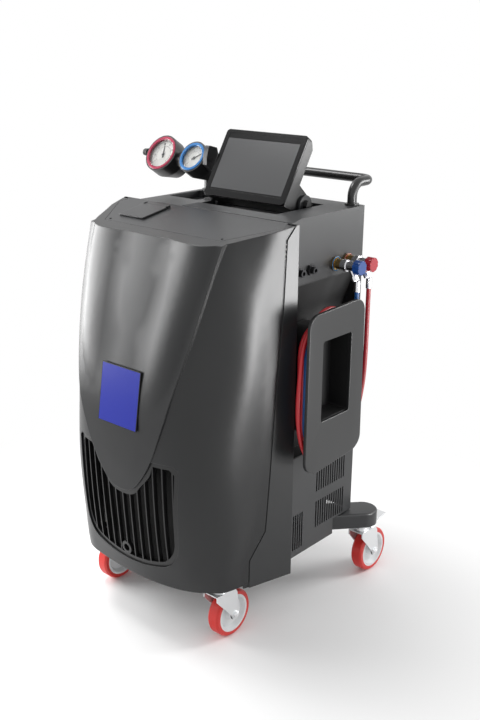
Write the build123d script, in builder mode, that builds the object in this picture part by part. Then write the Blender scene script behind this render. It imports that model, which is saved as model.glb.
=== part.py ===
from build123d import *
import os
from math import cos, radians, sin, tan

os.makedirs("parts", exist_ok=True)

# Air conditioning recharge station on four casters.
# Millimetres, +Z up, the front faces -Y, the hose side faces +X.
# The functions below take places in the machine's own coordinates: X from its middle plane,
# Y from a line a little ahead of the handle. These two shifts centre its overall box on the origin.
mid_x = 3.25
mid_y = 66.3

# Cabinet
body_half = 270.7
body_rear = 171.0
body_front = -120.0
floor_under = 161.4
floor_thick = 4.0
body_top = 1051.0
sheet = 2.0
cover_thick = 3.0
cover_depth = 45.0
fit_gap = 0.3

# Front flange, the raked frame that the hood closes on
flange_half = body_half + 21.3
flange_low = 138.7
flange_top = 1044.0
flange_sheet = 3.0
flange_slope = 0.2778
seam_gap = 4.0

# Front hood
hood_wall = 4.0
hood_deep = 307.0
hood_low = 160.0
shield_step = 3.0
grille_frame = 12.0
grille_pitch = 26.0
rib_width = 3.2
grille_depth = 11.0
badge_width = 134.0
badge_height = 146.0
badge_middle = 638.0
badge_thick = 3.0
badge_gap = 2.0

# Lid over the front, printer door
lid_front = -305.0
lid_low = 1012.0
lid_pitch = 10.04
lid_thick = 4.0
lid_gap = 0.6
door_width = 88.0
door_length = 92.0
door_thick = 5.0
door_pin = 4.0
pin_clearance = 0.05

# Top cover
tray_low = 1036.0
tray_depth = 20.0
well_floor = 1012.0
well_left = -107.0
well_right = 191.0
well_middle_y = 12.0
well_long = 190.0
tray_x = -203.0
tray_y = 68.5
tray_width = 106.0
tray_long = 127.0
deck_front = body_front + fit_gap
fall_start = -84.0
fall_front = 1045.0

# Display
screen_width = 265.0
screen_height = 186.0
screen_middle = 35.0
screen_foot_y = -28.2
screen_foot_z = 1061.7
screen_lean = 31.3
bezel_thick = 5.0
glass_width = 236.0
glass_height = 158.0
glass_thick = 2.0
display_axis_y = 54.0
display_axis_z = 1054.0
display_pin = 10.0
ear_thick = 7.0
ear_radius = 24.0

# Gauge pod
gauge_lean = 33.0
gauge_y = 10.0
gauge_z = 1147.0
high_gauge_x = -288.0
low_gauge_x = -172.0
high_cup_radius = 52.5
low_cup_radius = 44.0
cup_depth = 84.0
cup_wall = 4.0
dial_sink = 9.0
gauge_axis_y = 20.0
gauge_axis_z = 1142.5
gauge_pin = 12.0
needle_pin = 3.0
arm_right = -113.5
arm_thick = 14.0

# Handle
handle_tube = 24.0
handle_half = 245.0
handle_leg_y = 152.0
handle_bar_y = 240.0
handle_bar_z = 1105.0
handle_bend = 34.0

# Hose bay, winder, ports
bay_front = -104.0
bay_rear = 154.0
bay_low = 443.0
bay_high = 893.0
bay_floor_x = body_half - 42.7
bay_wall = 3.0
winder_y = -40.0
winder_z = 646.0
drum_width = 140.0
drum_height = 290.0
drum_corner = 55.0
plate_inner_x = body_half + 76.3
plate_thick = 8.0
plate_width = 230.0
plate_height = 392.0
window_width = 114.0
window_height = 203.0
window_z = 670.0
hose_size = 11.5
low_coil_depth = 25.0
high_coil_depth = 13.0
coil_width = 26.0
low_coil_x = body_half + 49.8
high_coil_x = body_half + 23.3
pocket_deep = 55.0
port_z = 922.0
low_port_y = 54.0
high_port_y = 104.0
outlet_z = 924.0
low_outlet_y = -94.0
high_outlet_y = -48.0
knob_radius = 18.0
knob_length = 19.0
port_stem = 20.0
coupler_x = body_half + 8.0
outlet_tilt = 30.0
hose_top_x = body_half + 68.3
hose_top_z = 862.0

# Power inlet and main switch on the rear panel
inlet_x = 100.7 - body_half
inlet_z = 290.0
switch_x = inlet_x
switch_z = 350.0

# Casters and outriggers
wheel_radius = 62.5
tread_width = 34.0
rim_radius = 50.0
axle_radius = 6.0
trail = 38.0
fork_sheet = 3.0
front_swivel_x = flange_half - 83.5
front_swivel_y = -303.0
rear_swivel_x = body_half + 20.3
rear_swivel_y = 203.0
head_radius = 22.0
outrigger_height = 42.0
pedal_pin = 5.0
notch_back = 82.0

# Inner pieces
tank_radius = 98.0
tank_x = 92.0
tank_y = 60.0
compressor_x = -104.0
compressor_y = 66.0
pump_x = -150.0
pump_rear = -24.0
condenser_width = 300.0
condenser_height = 290.0
condenser_y = -352.0
condenser_deep = 30.0
opening_half = body_half - 12.0
opening_low = floor_under - 0.5
opening_high = 995.0


def level(z):
    """Horizontal plane at height z: x across, y to the rear."""
    return Plane(origin=(mid_x, mid_y, z))


def facing(y):
    """Upright plane across the machine at y, looking to the front: x across, y up."""
    return Plane(origin=(mid_x, mid_y + y, 0), x_dir=(1, 0, 0), z_dir=(0, -1, 0))


def side(x):
    """Upright plane along the machine at x, looking to +X: x to the rear, y up."""
    return Plane(origin=(mid_x + x, mid_y, 0), x_dir=(0, 1, 0), z_dir=(1, 0, 0))


def tilted(x, y, z, lean):
    """Plane at a point whose normal faces the front and leans back by an angle."""
    a = radians(lean)
    return Plane(origin=(mid_x + x, mid_y + y, z), x_dir=(1, 0, 0), z_dir=(0, -cos(a), sin(a)))


# Sections of the hood, one row per height: height, y of the middle, crease point, shoulder point,
# side point, and y where the curve runs out onto the plane of the flange.
hood_rows = [
    (150.0, -408, (125, -398), (200, -366), (243, -305), -258),
    (260.0, -420, (130, -408), (205, -375), (252, -300), -238),
    (400.0, -430, (135, -417), (208, -382), (256, -298), -207),
    (560.0, -429, (135, -420), (200, -383), (255, -285), -198),
    (720.0, -402, (172, -393), (218, -340), (262, -250), -184),
    (870.0, -357, (199, -347), (236, -298), (264, -232), -176),
    (1012.0, -308, (214, -297), (246, -243), (268, -200), -170),
    (1060.0, -290, (218, -279), (249, -226), (270, -188), -168),
]


def flange_x(y):
    """X of the flange's outer plane at y, on the right side."""
    return flange_half + (y - body_front) * flange_slope


def hood_outline(row):
    """Closed plan outline of the hood at one row."""
    z, middle, crease, shoulder, flank, run = row
    rear_edge = (flange_x(-124), -124)
    onto = (flange_x(run), run)
    half = [onto, flank, shoulder, crease]
    points = half + [(0, middle)] + [(-x, y) for x, y in reversed(half)]
    with BuildLine() as outline:
        Line(rear_edge, onto)
        Spline(points, tangents=((-flange_slope, -1), (-flange_slope, 1)))
        Line((-onto[0], onto[1]), (-rear_edge[0], rear_edge[1]))
        Line((-rear_edge[0], rear_edge[1]), rear_edge)
    make_face(outline.edges())


def shield_outline(drop):
    """Outline of the raised centre shield seen from the front, its tip lowered by drop."""
    side_points = [(219, 1005), (206, 900), (190, 800), (169, 700), (147, 610)]
    tip_points = [(147, 610), (124, 543), (97, 481), (62, 430), (0, 398 - drop)]
    with BuildLine() as outline:
        Line((0, 1075), (232, 1075))
        Line((232, 1075), side_points[0])
        Spline(side_points)
        Spline(tip_points, tangents=((-0.32, -1), (-1, 0)))
        Line((0, 398 - drop), (0, 1075))
    make_face(outline.edges())


def seam_line(shift):
    """Points of the seam between hood and flange in side view, moved to the rear by shift."""
    rows = [(-130, 1060), (-131, 1044), (-155, 1012), (-161, 860), (-178, 640), (-192, 408),
            (-201, 284), (-246, 214), (-247, 100)]
    return [(y + shift, z) for y, z in rows]


def lid_outline(gap):
    """Outline of the lid on its own slope, seen square to it, with a gap all round."""
    rise = 1 / cos(radians(lid_pitch))
    half = [(194 - gap, -280 + gap), (275 - gap, -156 + gap / 2), (262 - gap, -124)]
    corners = half + [(-x, y) for x, y in reversed(half)]
    with BuildLine() as outline:
        Polyline([(x, (y - lid_front) * rise) for x, y in corners], close=True)
    make_face(outline.edges())


lid_plane = Plane(
    origin=(mid_x, mid_y + lid_front, lid_low),
    x_dir=(1, 0, 0),
    z_dir=(0, -sin(radians(lid_pitch)), cos(radians(lid_pitch))),
)


def hood_form():
    """Loft through all rows."""
    sections = []
    for row in hood_rows:
        with BuildSketch(level(row[0])) as section:
            hood_outline(row)
        sections.append(section.sketch)
    loft(sections)


def drawn_in(form, inset):
    """The form drawn in by inset at its sides and its front, its rear plane kept."""
    across = 1 - inset / flange_half
    along = 1 - inset / hood_deep
    rear = mid_y - 124
    return form.transform_geometry(Matrix([
        [across, 0, 0, mid_x * (1 - across)],
        [0, along, 0, rear * (1 - along)],
        [0, 0, 1, 0],
    ]))


def grille_outline(margin):
    """Right half of the grille opening seen from the front, drawn in by margin."""
    m = margin
    tip = [(104, 498 - m), (96 + m * 0.3, 481 - m), (62, 430 - m), (0, 398 - m)]
    with BuildLine() as outline:
        Spline(tip, tangents=((-0.36, -1), (-1, 0)))
        Line((0, 398 - m), (0, 199 + m))
        ThreePointArc((0, 199 + m), (60, 202 + m), (112 - m * 0.3, 212 + m))
        Spline((112 - m * 0.3, 212 + m), (150 - m, 238 + m * 0.6), (165 - m, 285),
               tangents=((1, 0.22), (0.06, 1)))
        Line((165 - m, 285), (173 - m, 486 - m))
        Line((173 - m, 486 - m), (161 - m, 498 - m))
        Line((161 - m, 498 - m), tip[0])
    make_face(outline.edges())


def vents(x, y, low, high, count, pitch, width):
    """Row of upright slots cut through a side panel at x."""
    with BuildSketch(side(x)) as slots:
        with Locations((y, (low + high) / 2)):
            with GridLocations(pitch, 1, count, 1):
                Rectangle(width, high - low)
    extrude(slots.sketch, amount=sheet * 2, both=True, mode=Mode.SUBTRACT)


badge_plane = tilted(0, -422.5, badge_middle, 8.5)

with BuildPart() as hood_block:
    hood_form()

with BuildPart() as hood_inside:
    add(drawn_in(hood_block.part, hood_wall))
    split(bisect_by=lid_plane.offset(-lid_thick), keep=Keep.BOTTOM)

# The shield's front bows a little to both sides, so it is lofted through three side profiles.
with BuildPart() as shield:
    for x in (-230.0, 0.0, 230.0):
        back = 14.0 * (x / 230.0) ** 2
        with BuildSketch(side(x)):
            with BuildLine():
                Spline((-431 + back, 385), (-432 + back, 520), (-427 + back, 620), (-406 + back, 720),
                       (-364 + back, 870), (-316 + back, 1012), (-298 + back, 1065))
                Polyline((-298 + back, 1065), (-250, 1065), (-250, 385), (-431 + back, 385))
            make_face()
    loft()
    with BuildSketch(facing(-240)) as shield_front:
        shield_outline(0)
        mirror(about=Plane.YZ)
    extrude(amount=230, mode=Mode.INTERSECT)

with BuildPart() as front_hood:
    add(hood_block.part)
    add(shield.part)
    split(bisect_by=lid_plane, keep=Keep.BOTTOM)
    add(hood_inside.part, mode=Mode.SUBTRACT)
    # Opening for the lid
    with BuildSketch(lid_plane) as lid_hole:
        lid_outline(0)
    extrude(amount=2 * lid_thick, both=True, mode=Mode.SUBTRACT)
    # Opening for the grille below the shield
    with BuildSketch(facing(-300)) as grille_hole:
        grille_outline(0)
        mirror(about=Plane.YZ)
    extrude(amount=200, mode=Mode.SUBTRACT)
    # Seat of the badge plate
    with BuildSketch(badge_plane):
        RectangleRounded(badge_width + 2 * badge_gap, badge_height + 2 * badge_gap, 5)
    extrude(amount=40, mode=Mode.SUBTRACT)
    # Rear edge follows the seam, lower edge rises towards the front
    with BuildSketch(side(-320)) as behind:
        with BuildLine():
            Polyline(seam_line(0) + [(0, 100), (0, 1060), (-130, 1060)])
        make_face()
    extrude(amount=640, mode=Mode.SUBTRACT)
    with BuildSketch(side(-320)) as under:
        with BuildLine():
            Line((-500, hood_low), (-385, hood_low))
            Spline((-385, hood_low), (-320, 150), (-247, flange_low), tangents=((1, 0), (1, -0.14)))
            Polyline((-247, flange_low), (-200, flange_low), (-200, 60), (-500, 60), (-500, hood_low))
        make_face()
    extrude(amount=640, mode=Mode.SUBTRACT)
front_hood.part.label = "front_hood"
export_step(front_hood.part, "parts/front_hood.step")

with BuildPart() as badge_plate:
    with BuildSketch(badge_plane):
        RectangleRounded(badge_width, badge_height, 3)
    extrude(amount=badge_thick)
    chamfer(badge_plate.faces().sort_by(Axis.Y)[0].edges(), 0.8)
badge_plate.part.label = "badge_plate"
export_step(badge_plate.part, "parts/badge_plate.step")

# Grille: a curved slab behind the hood's opening, cut into upright ribs
with BuildPart() as front_grille:
    add(drawn_in(hood_block.part, hood_wall + fit_gap))
    add(drawn_in(hood_block.part, hood_wall + fit_gap + grille_depth), mode=Mode.SUBTRACT)
    with BuildSketch(facing(-300)) as grille_plate:
        grille_outline(-8)
        mirror(about=Plane.YZ)
    extrude(amount=200, mode=Mode.INTERSECT)
    with BuildSketch(facing(-300)) as gaps:
        grille_outline(grille_frame)
        mirror(about=Plane.YZ)
        with Locations((0, 300)):
            with GridLocations(grille_pitch, 1, 13, 1):
                Rectangle(rib_width, 700, mode=Mode.SUBTRACT)
        with Locations((-5, 226)):
            Circle(17, mode=Mode.SUBTRACT)
            Circle(10)
    extrude(amount=200, mode=Mode.SUBTRACT)
front_grille.part.label = "front_grille"
export_step(front_grille.part, "parts/front_grille.step")

# Flange: raked strips on both sides, a joggle under the hood's edge and a rear frame that joins them
flange_run = -262.0
flange_line = [(flange_half, body_front), (flange_x(flange_run), flange_run)]
under = hood_wall + fit_gap


def flange_slab(inner, outer):
    """Plan strips along both flanges between two depths below their outer plane."""
    near = [(x - inner, y) for x, y in flange_line]
    far = [(x - outer, y) for x, y in reversed(flange_line)]
    with BuildLine() as outline:
        Polyline(near + far, close=True)
    make_face(outline.edges())


def side_zone(points):
    """Face in side view through the points, to cut the sides with."""
    with BuildSketch(side(-320)) as zone:
        with BuildLine() as outline:
            Polyline(points, close=True)
        make_face(outline.edges())
    return zone.sketch


with BuildPart() as hood_zone:
    with BuildSketch(level(flange_low - 10)) as slab:
        flange_slab(-5, under)
        mirror(about=Plane.YZ)
    extrude(amount=950)
    extrude(side_zone(seam_line(2) + [(0, 100), (0, 1060)]), amount=640, mode=Mode.SUBTRACT)

with BuildPart() as joggle:
    with BuildSketch(level(flange_low)) as slab:
        flange_slab(flange_sheet - 0.5, under + flange_sheet)
        mirror(about=Plane.YZ)
    extrude(amount=lid_low - 45 - flange_low)
    extrude(side_zone(seam_line(-9) + [(-500, 100), (-500, 1060)]), amount=640, mode=Mode.SUBTRACT)
    extrude(side_zone(seam_line(14) + [(0, 100), (0, 1060)]), amount=640, mode=Mode.SUBTRACT)
    add(hood_zone.part, mode=Mode.SUBTRACT)

with BuildPart() as front_flange:
    with BuildSketch(level(flange_low)) as slab:
        flange_slab(0, flange_sheet)
        mirror(about=Plane.YZ)
    extrude(amount=flange_top - flange_low)
    extrude(side_zone(seam_line(seam_gap) + [(-500, 100), (-500, 1060)]), amount=640, mode=Mode.SUBTRACT)
    add(joggle.part)
    with BuildSketch(facing(body_front)) as frame_plate:
        with Locations((0, (flange_low + flange_top) / 2)):
            Rectangle(2 * flange_half - 4, flange_top - flange_low)
        with Locations((0, (opening_low + opening_high) / 2)):
            Rectangle(2 * opening_half, opening_high - opening_low, mode=Mode.SUBTRACT)
    extrude(amount=flange_sheet)
front_flange.part.label = "front_flange"
export_step(front_flange.part, "parts/front_flange.step")

# Lid on the hood's slope, with a seat under the printer door
slope = 1 / cos(radians(lid_pitch))
door_middle = (-141.0, (-196.5 - lid_front) * slope)
door_hinge = (door_middle[0], door_middle[1] + door_length / 2)
hinge_rise = door_pin / 2 + 1.5

with BuildPart() as top_lid:
    with BuildSketch(lid_plane) as lid_shape:
        lid_outline(lid_gap)
    extrude(amount=-lid_thick)
    with BuildSketch(lid_plane):
        with Locations(door_middle):
            Rectangle(door_width - 16, door_length - 26)
    extrude(amount=-lid_thick, mode=Mode.SUBTRACT)
    # Ears of the door hinge
    with BuildSketch(lid_plane.offset(-lid_thick)):
        with Locations(door_hinge):
            with GridLocations(door_width - 6, 1, 2, 1):
                Rectangle(5.5, 9)
    extrude(amount=lid_thick + hinge_rise + door_pin / 2 + 1.5)
    with BuildSketch(Plane(lid_plane.from_local_coords((door_hinge[0] - door_width / 2 - 1, door_hinge[1],
                                                        hinge_rise)), x_dir=lid_plane.y_dir,
                           z_dir=(1, 0, 0))) as pin_hole:
        Circle(door_pin / 2 + pin_clearance)
    extrude(amount=door_width + 2, mode=Mode.SUBTRACT)
    # Seats under the two front screws
    with BuildSketch(lid_plane):
        with Locations((-187, 38), (187, 38)):
            Circle(4)
    extrude(amount=-1.2, mode=Mode.SUBTRACT)
top_lid.part.label = "top_lid"
export_step(top_lid.part, "parts/top_lid.step")

with BuildPart() as printer_door:
    with BuildSketch(lid_plane.offset(fit_gap)):
        with Locations((door_middle[0], door_middle[1] - 3.5)):
            RectangleRounded(door_width, door_length - 7, 5)
    extrude(amount=door_thick)
    fillet(printer_door.faces().sort_by(Axis.Z)[-1].edges(), 1.2)
    with BuildSketch(lid_plane.offset(fit_gap)):
        with Locations((door_middle[0], door_hinge[1] - 5)):
            Rectangle(door_width - 14, 10)
    extrude(amount=door_thick)
    with BuildSketch(Plane(lid_plane.from_local_coords((door_hinge[0] - door_width / 2 + 0.5, door_hinge[1],
                                                        hinge_rise)), x_dir=lid_plane.y_dir,
                           z_dir=(1, 0, 0))) as pin:
        Circle(door_pin / 2)
    extrude(amount=door_width - 1)
printer_door.part.label = "printer_door"
export_step(printer_door.part, "parts/printer_door.step")

# Printer under its door: a bin with the paper roll across it
with BuildPart() as printer_unit:
    with BuildSketch(lid_plane.offset(-lid_thick)):
        with Locations(door_middle):
            Rectangle(door_width - 4, door_length - 14)
    extrude(amount=-58)
    with BuildSketch(lid_plane.offset(-lid_thick)):
        with Locations(door_middle):
            Rectangle(door_width - 12, door_length - 22)
    extrude(amount=-54, mode=Mode.SUBTRACT)
    with BuildSketch(Plane(lid_plane.from_local_coords((door_middle[0] - door_width / 2 + 4, door_middle[1],
                                                        -34)), x_dir=lid_plane.y_dir,
                           z_dir=(1, 0, 0))) as roll:
        Circle(20)
        Circle(6, mode=Mode.SUBTRACT)
    extrude(amount=door_width - 8)
printer_unit.part.label = "printer_unit"
export_step(printer_unit.part, "parts/printer_unit.step")

# Top cover: high deck behind the lid, low deck and tray on the left, well under the display
with BuildPart() as deck_form:
    with BuildSketch(facing(body_rear)):
        with BuildLine():
            Polyline(
                (body_half, body_top), (-60, body_top), (-112, tray_low), (-body_half, tray_low),
                (-body_half, body_top - cover_depth), (body_half, body_top - cover_depth), close=True,
            )
        make_face()
    extrude(amount=body_rear - deck_front)
    # The deck falls to the lid at its front edge
    with BuildSketch(side(-320)):
        with BuildLine():
            Polyline((deck_front - 1, fall_front), (fall_start, body_top), (fall_start, body_top + 10),
                     (deck_front - 1, body_top + 10), close=True)
        make_face()
    extrude(amount=640, mode=Mode.SUBTRACT)

# Brim of the cover, which lies on the upper edges of the panels
with BuildPart() as brim:
    add(deck_form.part)
    add(deck_form.part.moved(Location((0, 0, -cover_thick))), mode=Mode.SUBTRACT)
    with BuildSketch(level(900)):
        with Locations((0, (deck_front + body_rear) / 2 - sheet - fit_gap - 0.5)):
            Rectangle(2 * (body_half - sheet - fit_gap - 1), body_rear - deck_front - 1)
    extrude(amount=300, mode=Mode.SUBTRACT)

with BuildPart() as top_cover:
    add(deck_form.part)
    with BuildSketch(level(900)):
        with Locations((0, (deck_front + body_rear - sheet - fit_gap) / 2)):
            Rectangle(2 * (body_half - sheet - fit_gap), body_rear - sheet - fit_gap - deck_front)
    extrude(amount=300, mode=Mode.INTERSECT)
    # Well for the foot of the display
    with BuildSketch(level(body_top + 1)):
        with Locations(((well_left + well_right) / 2, well_middle_y)):
            Rectangle(well_right - well_left, well_long)
    extrude(amount=-(body_top + 1 - well_floor), mode=Mode.SUBTRACT)
    # Tool tray on the low deck
    with BuildSketch(level(tray_low)):
        with Locations((tray_x, tray_y)):
            RectangleRounded(tray_width, tray_long, 8)
    extrude(amount=-tray_depth, mode=Mode.SUBTRACT)
    offset(amount=-cover_thick, openings=top_cover.faces().sort_by(Axis.Z)[0])
    add(brim.part)
top_cover.part.label = "top_cover"
export_step(top_cover.part, "parts/top_cover.step")


# Display: a wedge-shaped housing on a hinge, with a bezel and a glass in front
screen_plane = tilted(screen_middle, screen_foot_y, screen_foot_z, screen_lean)
lean_sin = sin(radians(screen_lean))
lean_cos = cos(radians(screen_lean))


def on_screen(up, deep):
    """Point in side view, up along the screen from its lower edge and deep behind its front."""
    return (screen_foot_y + up * lean_sin + deep * lean_cos, screen_foot_z + up * lean_cos - deep * lean_sin)


display_left = screen_middle - screen_width / 2
display_right = screen_middle + screen_width / 2

with BuildPart() as display_housing:
    with BuildSketch(side(display_left)):
        with BuildLine():
            Polyline(
                on_screen(0, bezel_thick), on_screen(screen_height, bezel_thick),
                on_screen(screen_height - 2, 20), on_screen(screen_height - 19, 34),
                on_screen(70, 34), (display_axis_y + 20, display_axis_z + 16),
                (display_axis_y + 22, display_axis_z - 8), (display_axis_y + 10, display_axis_z - 22),
                (display_axis_y - 20, display_axis_z - 22), on_screen(0, bezel_thick),
            )
        make_face()
    extrude(amount=screen_width)
    # Rounded corners seen square to the screen
    with BuildSketch(screen_plane.offset(-130)):
        with Locations((0, screen_height / 2 - 40)):
            RectangleRounded(screen_width, screen_height + 80, 10)
    extrude(amount=190, mode=Mode.INTERSECT)
    chamfer(display_housing.faces().filter_by(Axis.X).edges().group_by(Axis.Y)[-1], 2)
    # Hinge pins in the ears, the right one with a clamp knob outside its ear
    reach = ear_thick + 2 * fit_gap
    with BuildSketch(side(display_right)):
        with Locations((display_axis_y, display_axis_z)):
            Circle(display_pin / 2)
    extrude(amount=reach)
    with BuildSketch(side(display_left)):
        with Locations((display_axis_y, display_axis_z)):
            Circle(display_pin / 2)
    extrude(amount=-ear_thick - fit_gap)
    with BuildSketch(side(display_right + reach)):
        with Locations((display_axis_y, display_axis_z)):
            RegularPolygon(13, 8)
    extrude(amount=11, taper=8)
display_housing.part.label = "display_housing"
export_step(display_housing.part, "parts/display_housing.step")

with BuildPart() as display_bezel:
    with BuildSketch(screen_plane.offset(-bezel_thick)):
        with Locations((0, screen_height / 2)):
            RectangleRounded(screen_width, screen_height, 10)
    extrude(amount=bezel_thick)
    chamfer(display_bezel.faces().sort_by(Axis.Y)[0].edges(), 1.2)
    with BuildSketch(screen_plane):
        with Locations((0, screen_height / 2 + 4)):
            Rectangle(glass_width, glass_height)
    extrude(amount=-glass_thick, mode=Mode.SUBTRACT)
display_bezel.part.label = "display_bezel"
export_step(display_bezel.part, "parts/display_bezel.step")

with BuildPart() as display_screen:
    with BuildSketch(screen_plane.offset(-glass_thick)):
        with Locations((0, screen_height / 2 + 4)):
            Rectangle(glass_width - 0.4, glass_height - 0.4)
    extrude(amount=glass_thick - 0.6)
display_screen.part.label = "display_screen"
export_step(display_screen.part, "parts/display_screen.step")

# Base in the well: a plate with two ears that carry the hinge pins
with BuildPart() as display_base:
    with BuildSketch(level(well_floor)):
        with Locations((screen_middle, 40)):
            Rectangle(screen_width + 2 * (ear_thick + fit_gap), 110)
    extrude(amount=3)
    for x in (display_left - ear_thick - fit_gap, display_right + fit_gap):
        with BuildSketch(side(x)):
            with Locations((display_axis_y, display_axis_z)):
                Circle(ear_radius)
            with BuildLine():
                Polyline((display_axis_y - 34, well_floor), (display_axis_y + 34, well_floor),
                         (display_axis_y + ear_radius * 0.94, display_axis_z - 8),
                         (display_axis_y - ear_radius * 0.94, display_axis_z - 8), close=True)
            make_face()
            with Locations((display_axis_y, display_axis_z)):
                Circle(display_pin / 2 + pin_clearance, mode=Mode.SUBTRACT)
        extrude(amount=ear_thick)
display_base.part.label = "display_base"
export_step(display_base.part, "parts/display_base.step")

# Gauge pod: two cups on a bar that turns in the arm
gauges = [(high_gauge_x, high_cup_radius), (low_gauge_x, low_cup_radius)]
arm_left = arm_right - arm_thick
pod_reach = high_gauge_x - high_cup_radius


def gauge_plane(x):
    """Plane of a gauge's front rim."""
    return tilted(x, gauge_y, gauge_z, gauge_lean)


with BuildPart() as gauge_housing:
    for x, radius in gauges:
        with BuildSketch(gauge_plane(x)):
            Circle(radius)
        extrude(amount=-cup_depth * 0.45)
        with BuildSketch(gauge_plane(x).offset(-cup_depth * 0.45)):
            Circle(radius)
        with BuildSketch(gauge_plane(x).offset(-cup_depth)):
            Circle(radius * 0.62)
        loft()
    # Bar between the cups and on to the arm
    with BuildSketch(side(high_gauge_x)):
        with Locations(Location((gauge_axis_y + 12, gauge_axis_z - 10), 30)):
            RectangleRounded(34, 28, 6)
    extrude(amount=arm_left - fit_gap - high_gauge_x)
    for x, radius in gauges:
        with BuildSketch(gauge_plane(x)):
            Circle(radius - cup_wall)
        extrude(amount=-dial_sink - 3, mode=Mode.SUBTRACT)
        with BuildSketch(gauge_plane(x).offset(-dial_sink - 3)):
            Circle(needle_pin / 2 + pin_clearance)
        extrude(amount=-12, mode=Mode.SUBTRACT)
    with BuildSketch(side(low_gauge_x + low_cup_radius - 2)):
        with Locations((gauge_axis_y, gauge_axis_z)):
            Circle(gauge_pin / 2)
    extrude(amount=arm_right + 3 - low_gauge_x - low_cup_radius + 2)
    with BuildSketch(side(pod_reach + 2)):
        with Locations((gauge_axis_y, gauge_axis_z)):
            Circle(gauge_pin / 2)
    extrude(amount=-5)
gauge_housing.part.label = "gauge_housing"
export_step(gauge_housing.part, "parts/gauge_housing.step")

with BuildPart() as gauge_bezels:
    for x, radius in gauges:
        with BuildSketch(gauge_plane(x).offset(-4)):
            Circle(radius - cup_wall)
            Circle(radius - cup_wall - 5.5, mode=Mode.SUBTRACT)
        extrude(amount=5.5)
    chamfer(gauge_bezels.edges().filter_by(GeomType.CIRCLE).group_by(Axis.Y)[0], 1)
gauge_bezels.part.label = "gauge_bezels"
export_step(gauge_bezels.part, "parts/gauge_bezels.step")

with BuildPart() as gauge_lenses:
    for x, radius in gauges:
        with BuildSketch(gauge_plane(x).offset(-6)):
            Circle(radius - cup_wall)
        extrude(amount=2)
gauge_lenses.part.label = "gauge_lenses"
export_step(gauge_lenses.part, "parts/gauge_lenses.step")

with BuildPart() as gauge_dials:
    for x, radius in gauges:
        with BuildSketch(gauge_plane(x).offset(-dial_sink - 3)):
            Circle(radius - cup_wall)
            Circle(needle_pin / 2 + pin_clearance, mode=Mode.SUBTRACT)
        extrude(amount=1.5)
gauge_dials.part.label = "gauge_dials"
export_step(gauge_dials.part, "parts/gauge_dials.step")


def needle(x, length, angle):
    """Pointer on a pin in the middle of a dial."""
    with BuildSketch(gauge_plane(x).offset(-dial_sink - 0.8)) as pointer:
        with BuildLine(Plane.XY.rotated((0, 0, angle))) as outline:
            Polyline((-2.4, -length * 0.3), (2.4, -length * 0.3), (0.7, length), (-0.7, length), close=True)
        make_face(outline.edges())
        Circle(4.5)
    extrude(pointer.sketch, amount=0.8)
    with BuildSketch(gauge_plane(x).offset(-dial_sink - 12)) as pin:
        Circle(needle_pin / 2)
    extrude(pin.sketch, amount=11.6)


with BuildPart() as gauge_needle_high:
    needle(high_gauge_x, 34, 15)
gauge_needle_high.part.label = "gauge_needle_high"
export_step(gauge_needle_high.part, "parts/gauge_needle_high.step")

with BuildPart() as gauge_needle_low:
    needle(low_gauge_x, 27, -55)
gauge_needle_low.part.label = "gauge_needle_low"
export_step(gauge_needle_low.part, "parts/gauge_needle_low.step")

with BuildPart() as gauge_knob:
    with BuildSketch(side(pod_reach - 6)):
        with Locations((gauge_axis_y, gauge_axis_z)):
            RegularPolygon(11, 8)
    extrude(amount=-15, taper=5)
    with BuildSketch(side(pod_reach - 6)):
        with Locations((gauge_axis_y, gauge_axis_z)):
            Circle(8)
    extrude(amount=3)
gauge_knob.part.label = "gauge_knob"
export_step(gauge_knob.part, "parts/gauge_knob.step")

# Arm: an upright plate with a foot on the low deck and a split pivot block
with BuildPart() as gauge_arm:
    with BuildSketch(side(arm_left)):
        with BuildLine():
            Polyline((30, tray_low), (78, tray_low), (66, 1100), (44, 1172), (gauge_axis_y - 6, 1180),
                     (gauge_axis_y - 16, gauge_axis_z + 8), (gauge_axis_y - 16, gauge_axis_z - 12),
                     (34, 1104), close=True)
        make_face()
        with Locations((gauge_axis_y, gauge_axis_z)):
            Circle(gauge_pin / 2 + pin_clearance, mode=Mode.SUBTRACT)
    extrude(amount=arm_thick)
    fillet(gauge_arm.edges().filter_by(Axis.X).group_by(Axis.Z)[-1], 5)
    with BuildSketch(level(tray_low)):
        with Locations((arm_right - 14.5, 54)):
            RectangleRounded(30, 62, 4)
    extrude(amount=4)
gauge_arm.part.label = "gauge_arm"
export_step(gauge_arm.part, "parts/gauge_arm.step")

# Push handle: one bent tube on two rosettes
with BuildPart() as push_handle:
    with BuildLine(level(0)) as handle_path:
        FilletPolyline(
            (handle_half, handle_leg_y, body_top), (handle_half, handle_leg_y, handle_bar_z),
            (handle_half, handle_bar_y, handle_bar_z), (-handle_half, handle_bar_y, handle_bar_z),
            (-handle_half, handle_leg_y, handle_bar_z), (-handle_half, handle_leg_y, tray_low),
            radius=handle_bend,
        )
    with BuildSketch(level(body_top)):
        with Locations((handle_half, handle_leg_y)):
            Circle(handle_tube / 2)
    sweep()
    for x, z in ((handle_half, body_top), (-handle_half, tray_low)):
        with BuildSketch(level(z)):
            with Locations((x, handle_leg_y)):
                Circle(handle_tube / 2 + 6)
        extrude(amount=4)
push_handle.part.label = "push_handle"
export_step(push_handle.part, "parts/push_handle.step")

# Side panels with a bend at the rear, hose bay on the right, vents on both
panel_top = body_top - cover_thick


def arm_notch():
    """Notch at the rear foot of a side panel for an outrigger."""
    with BuildSketch(side(-320)) as notch:
        with Locations((body_rear, floor_under)):
            Rectangle(2 * notch_back, 2 * (outrigger_height + 3))
    extrude(notch.sketch, amount=640, mode=Mode.SUBTRACT)


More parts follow.
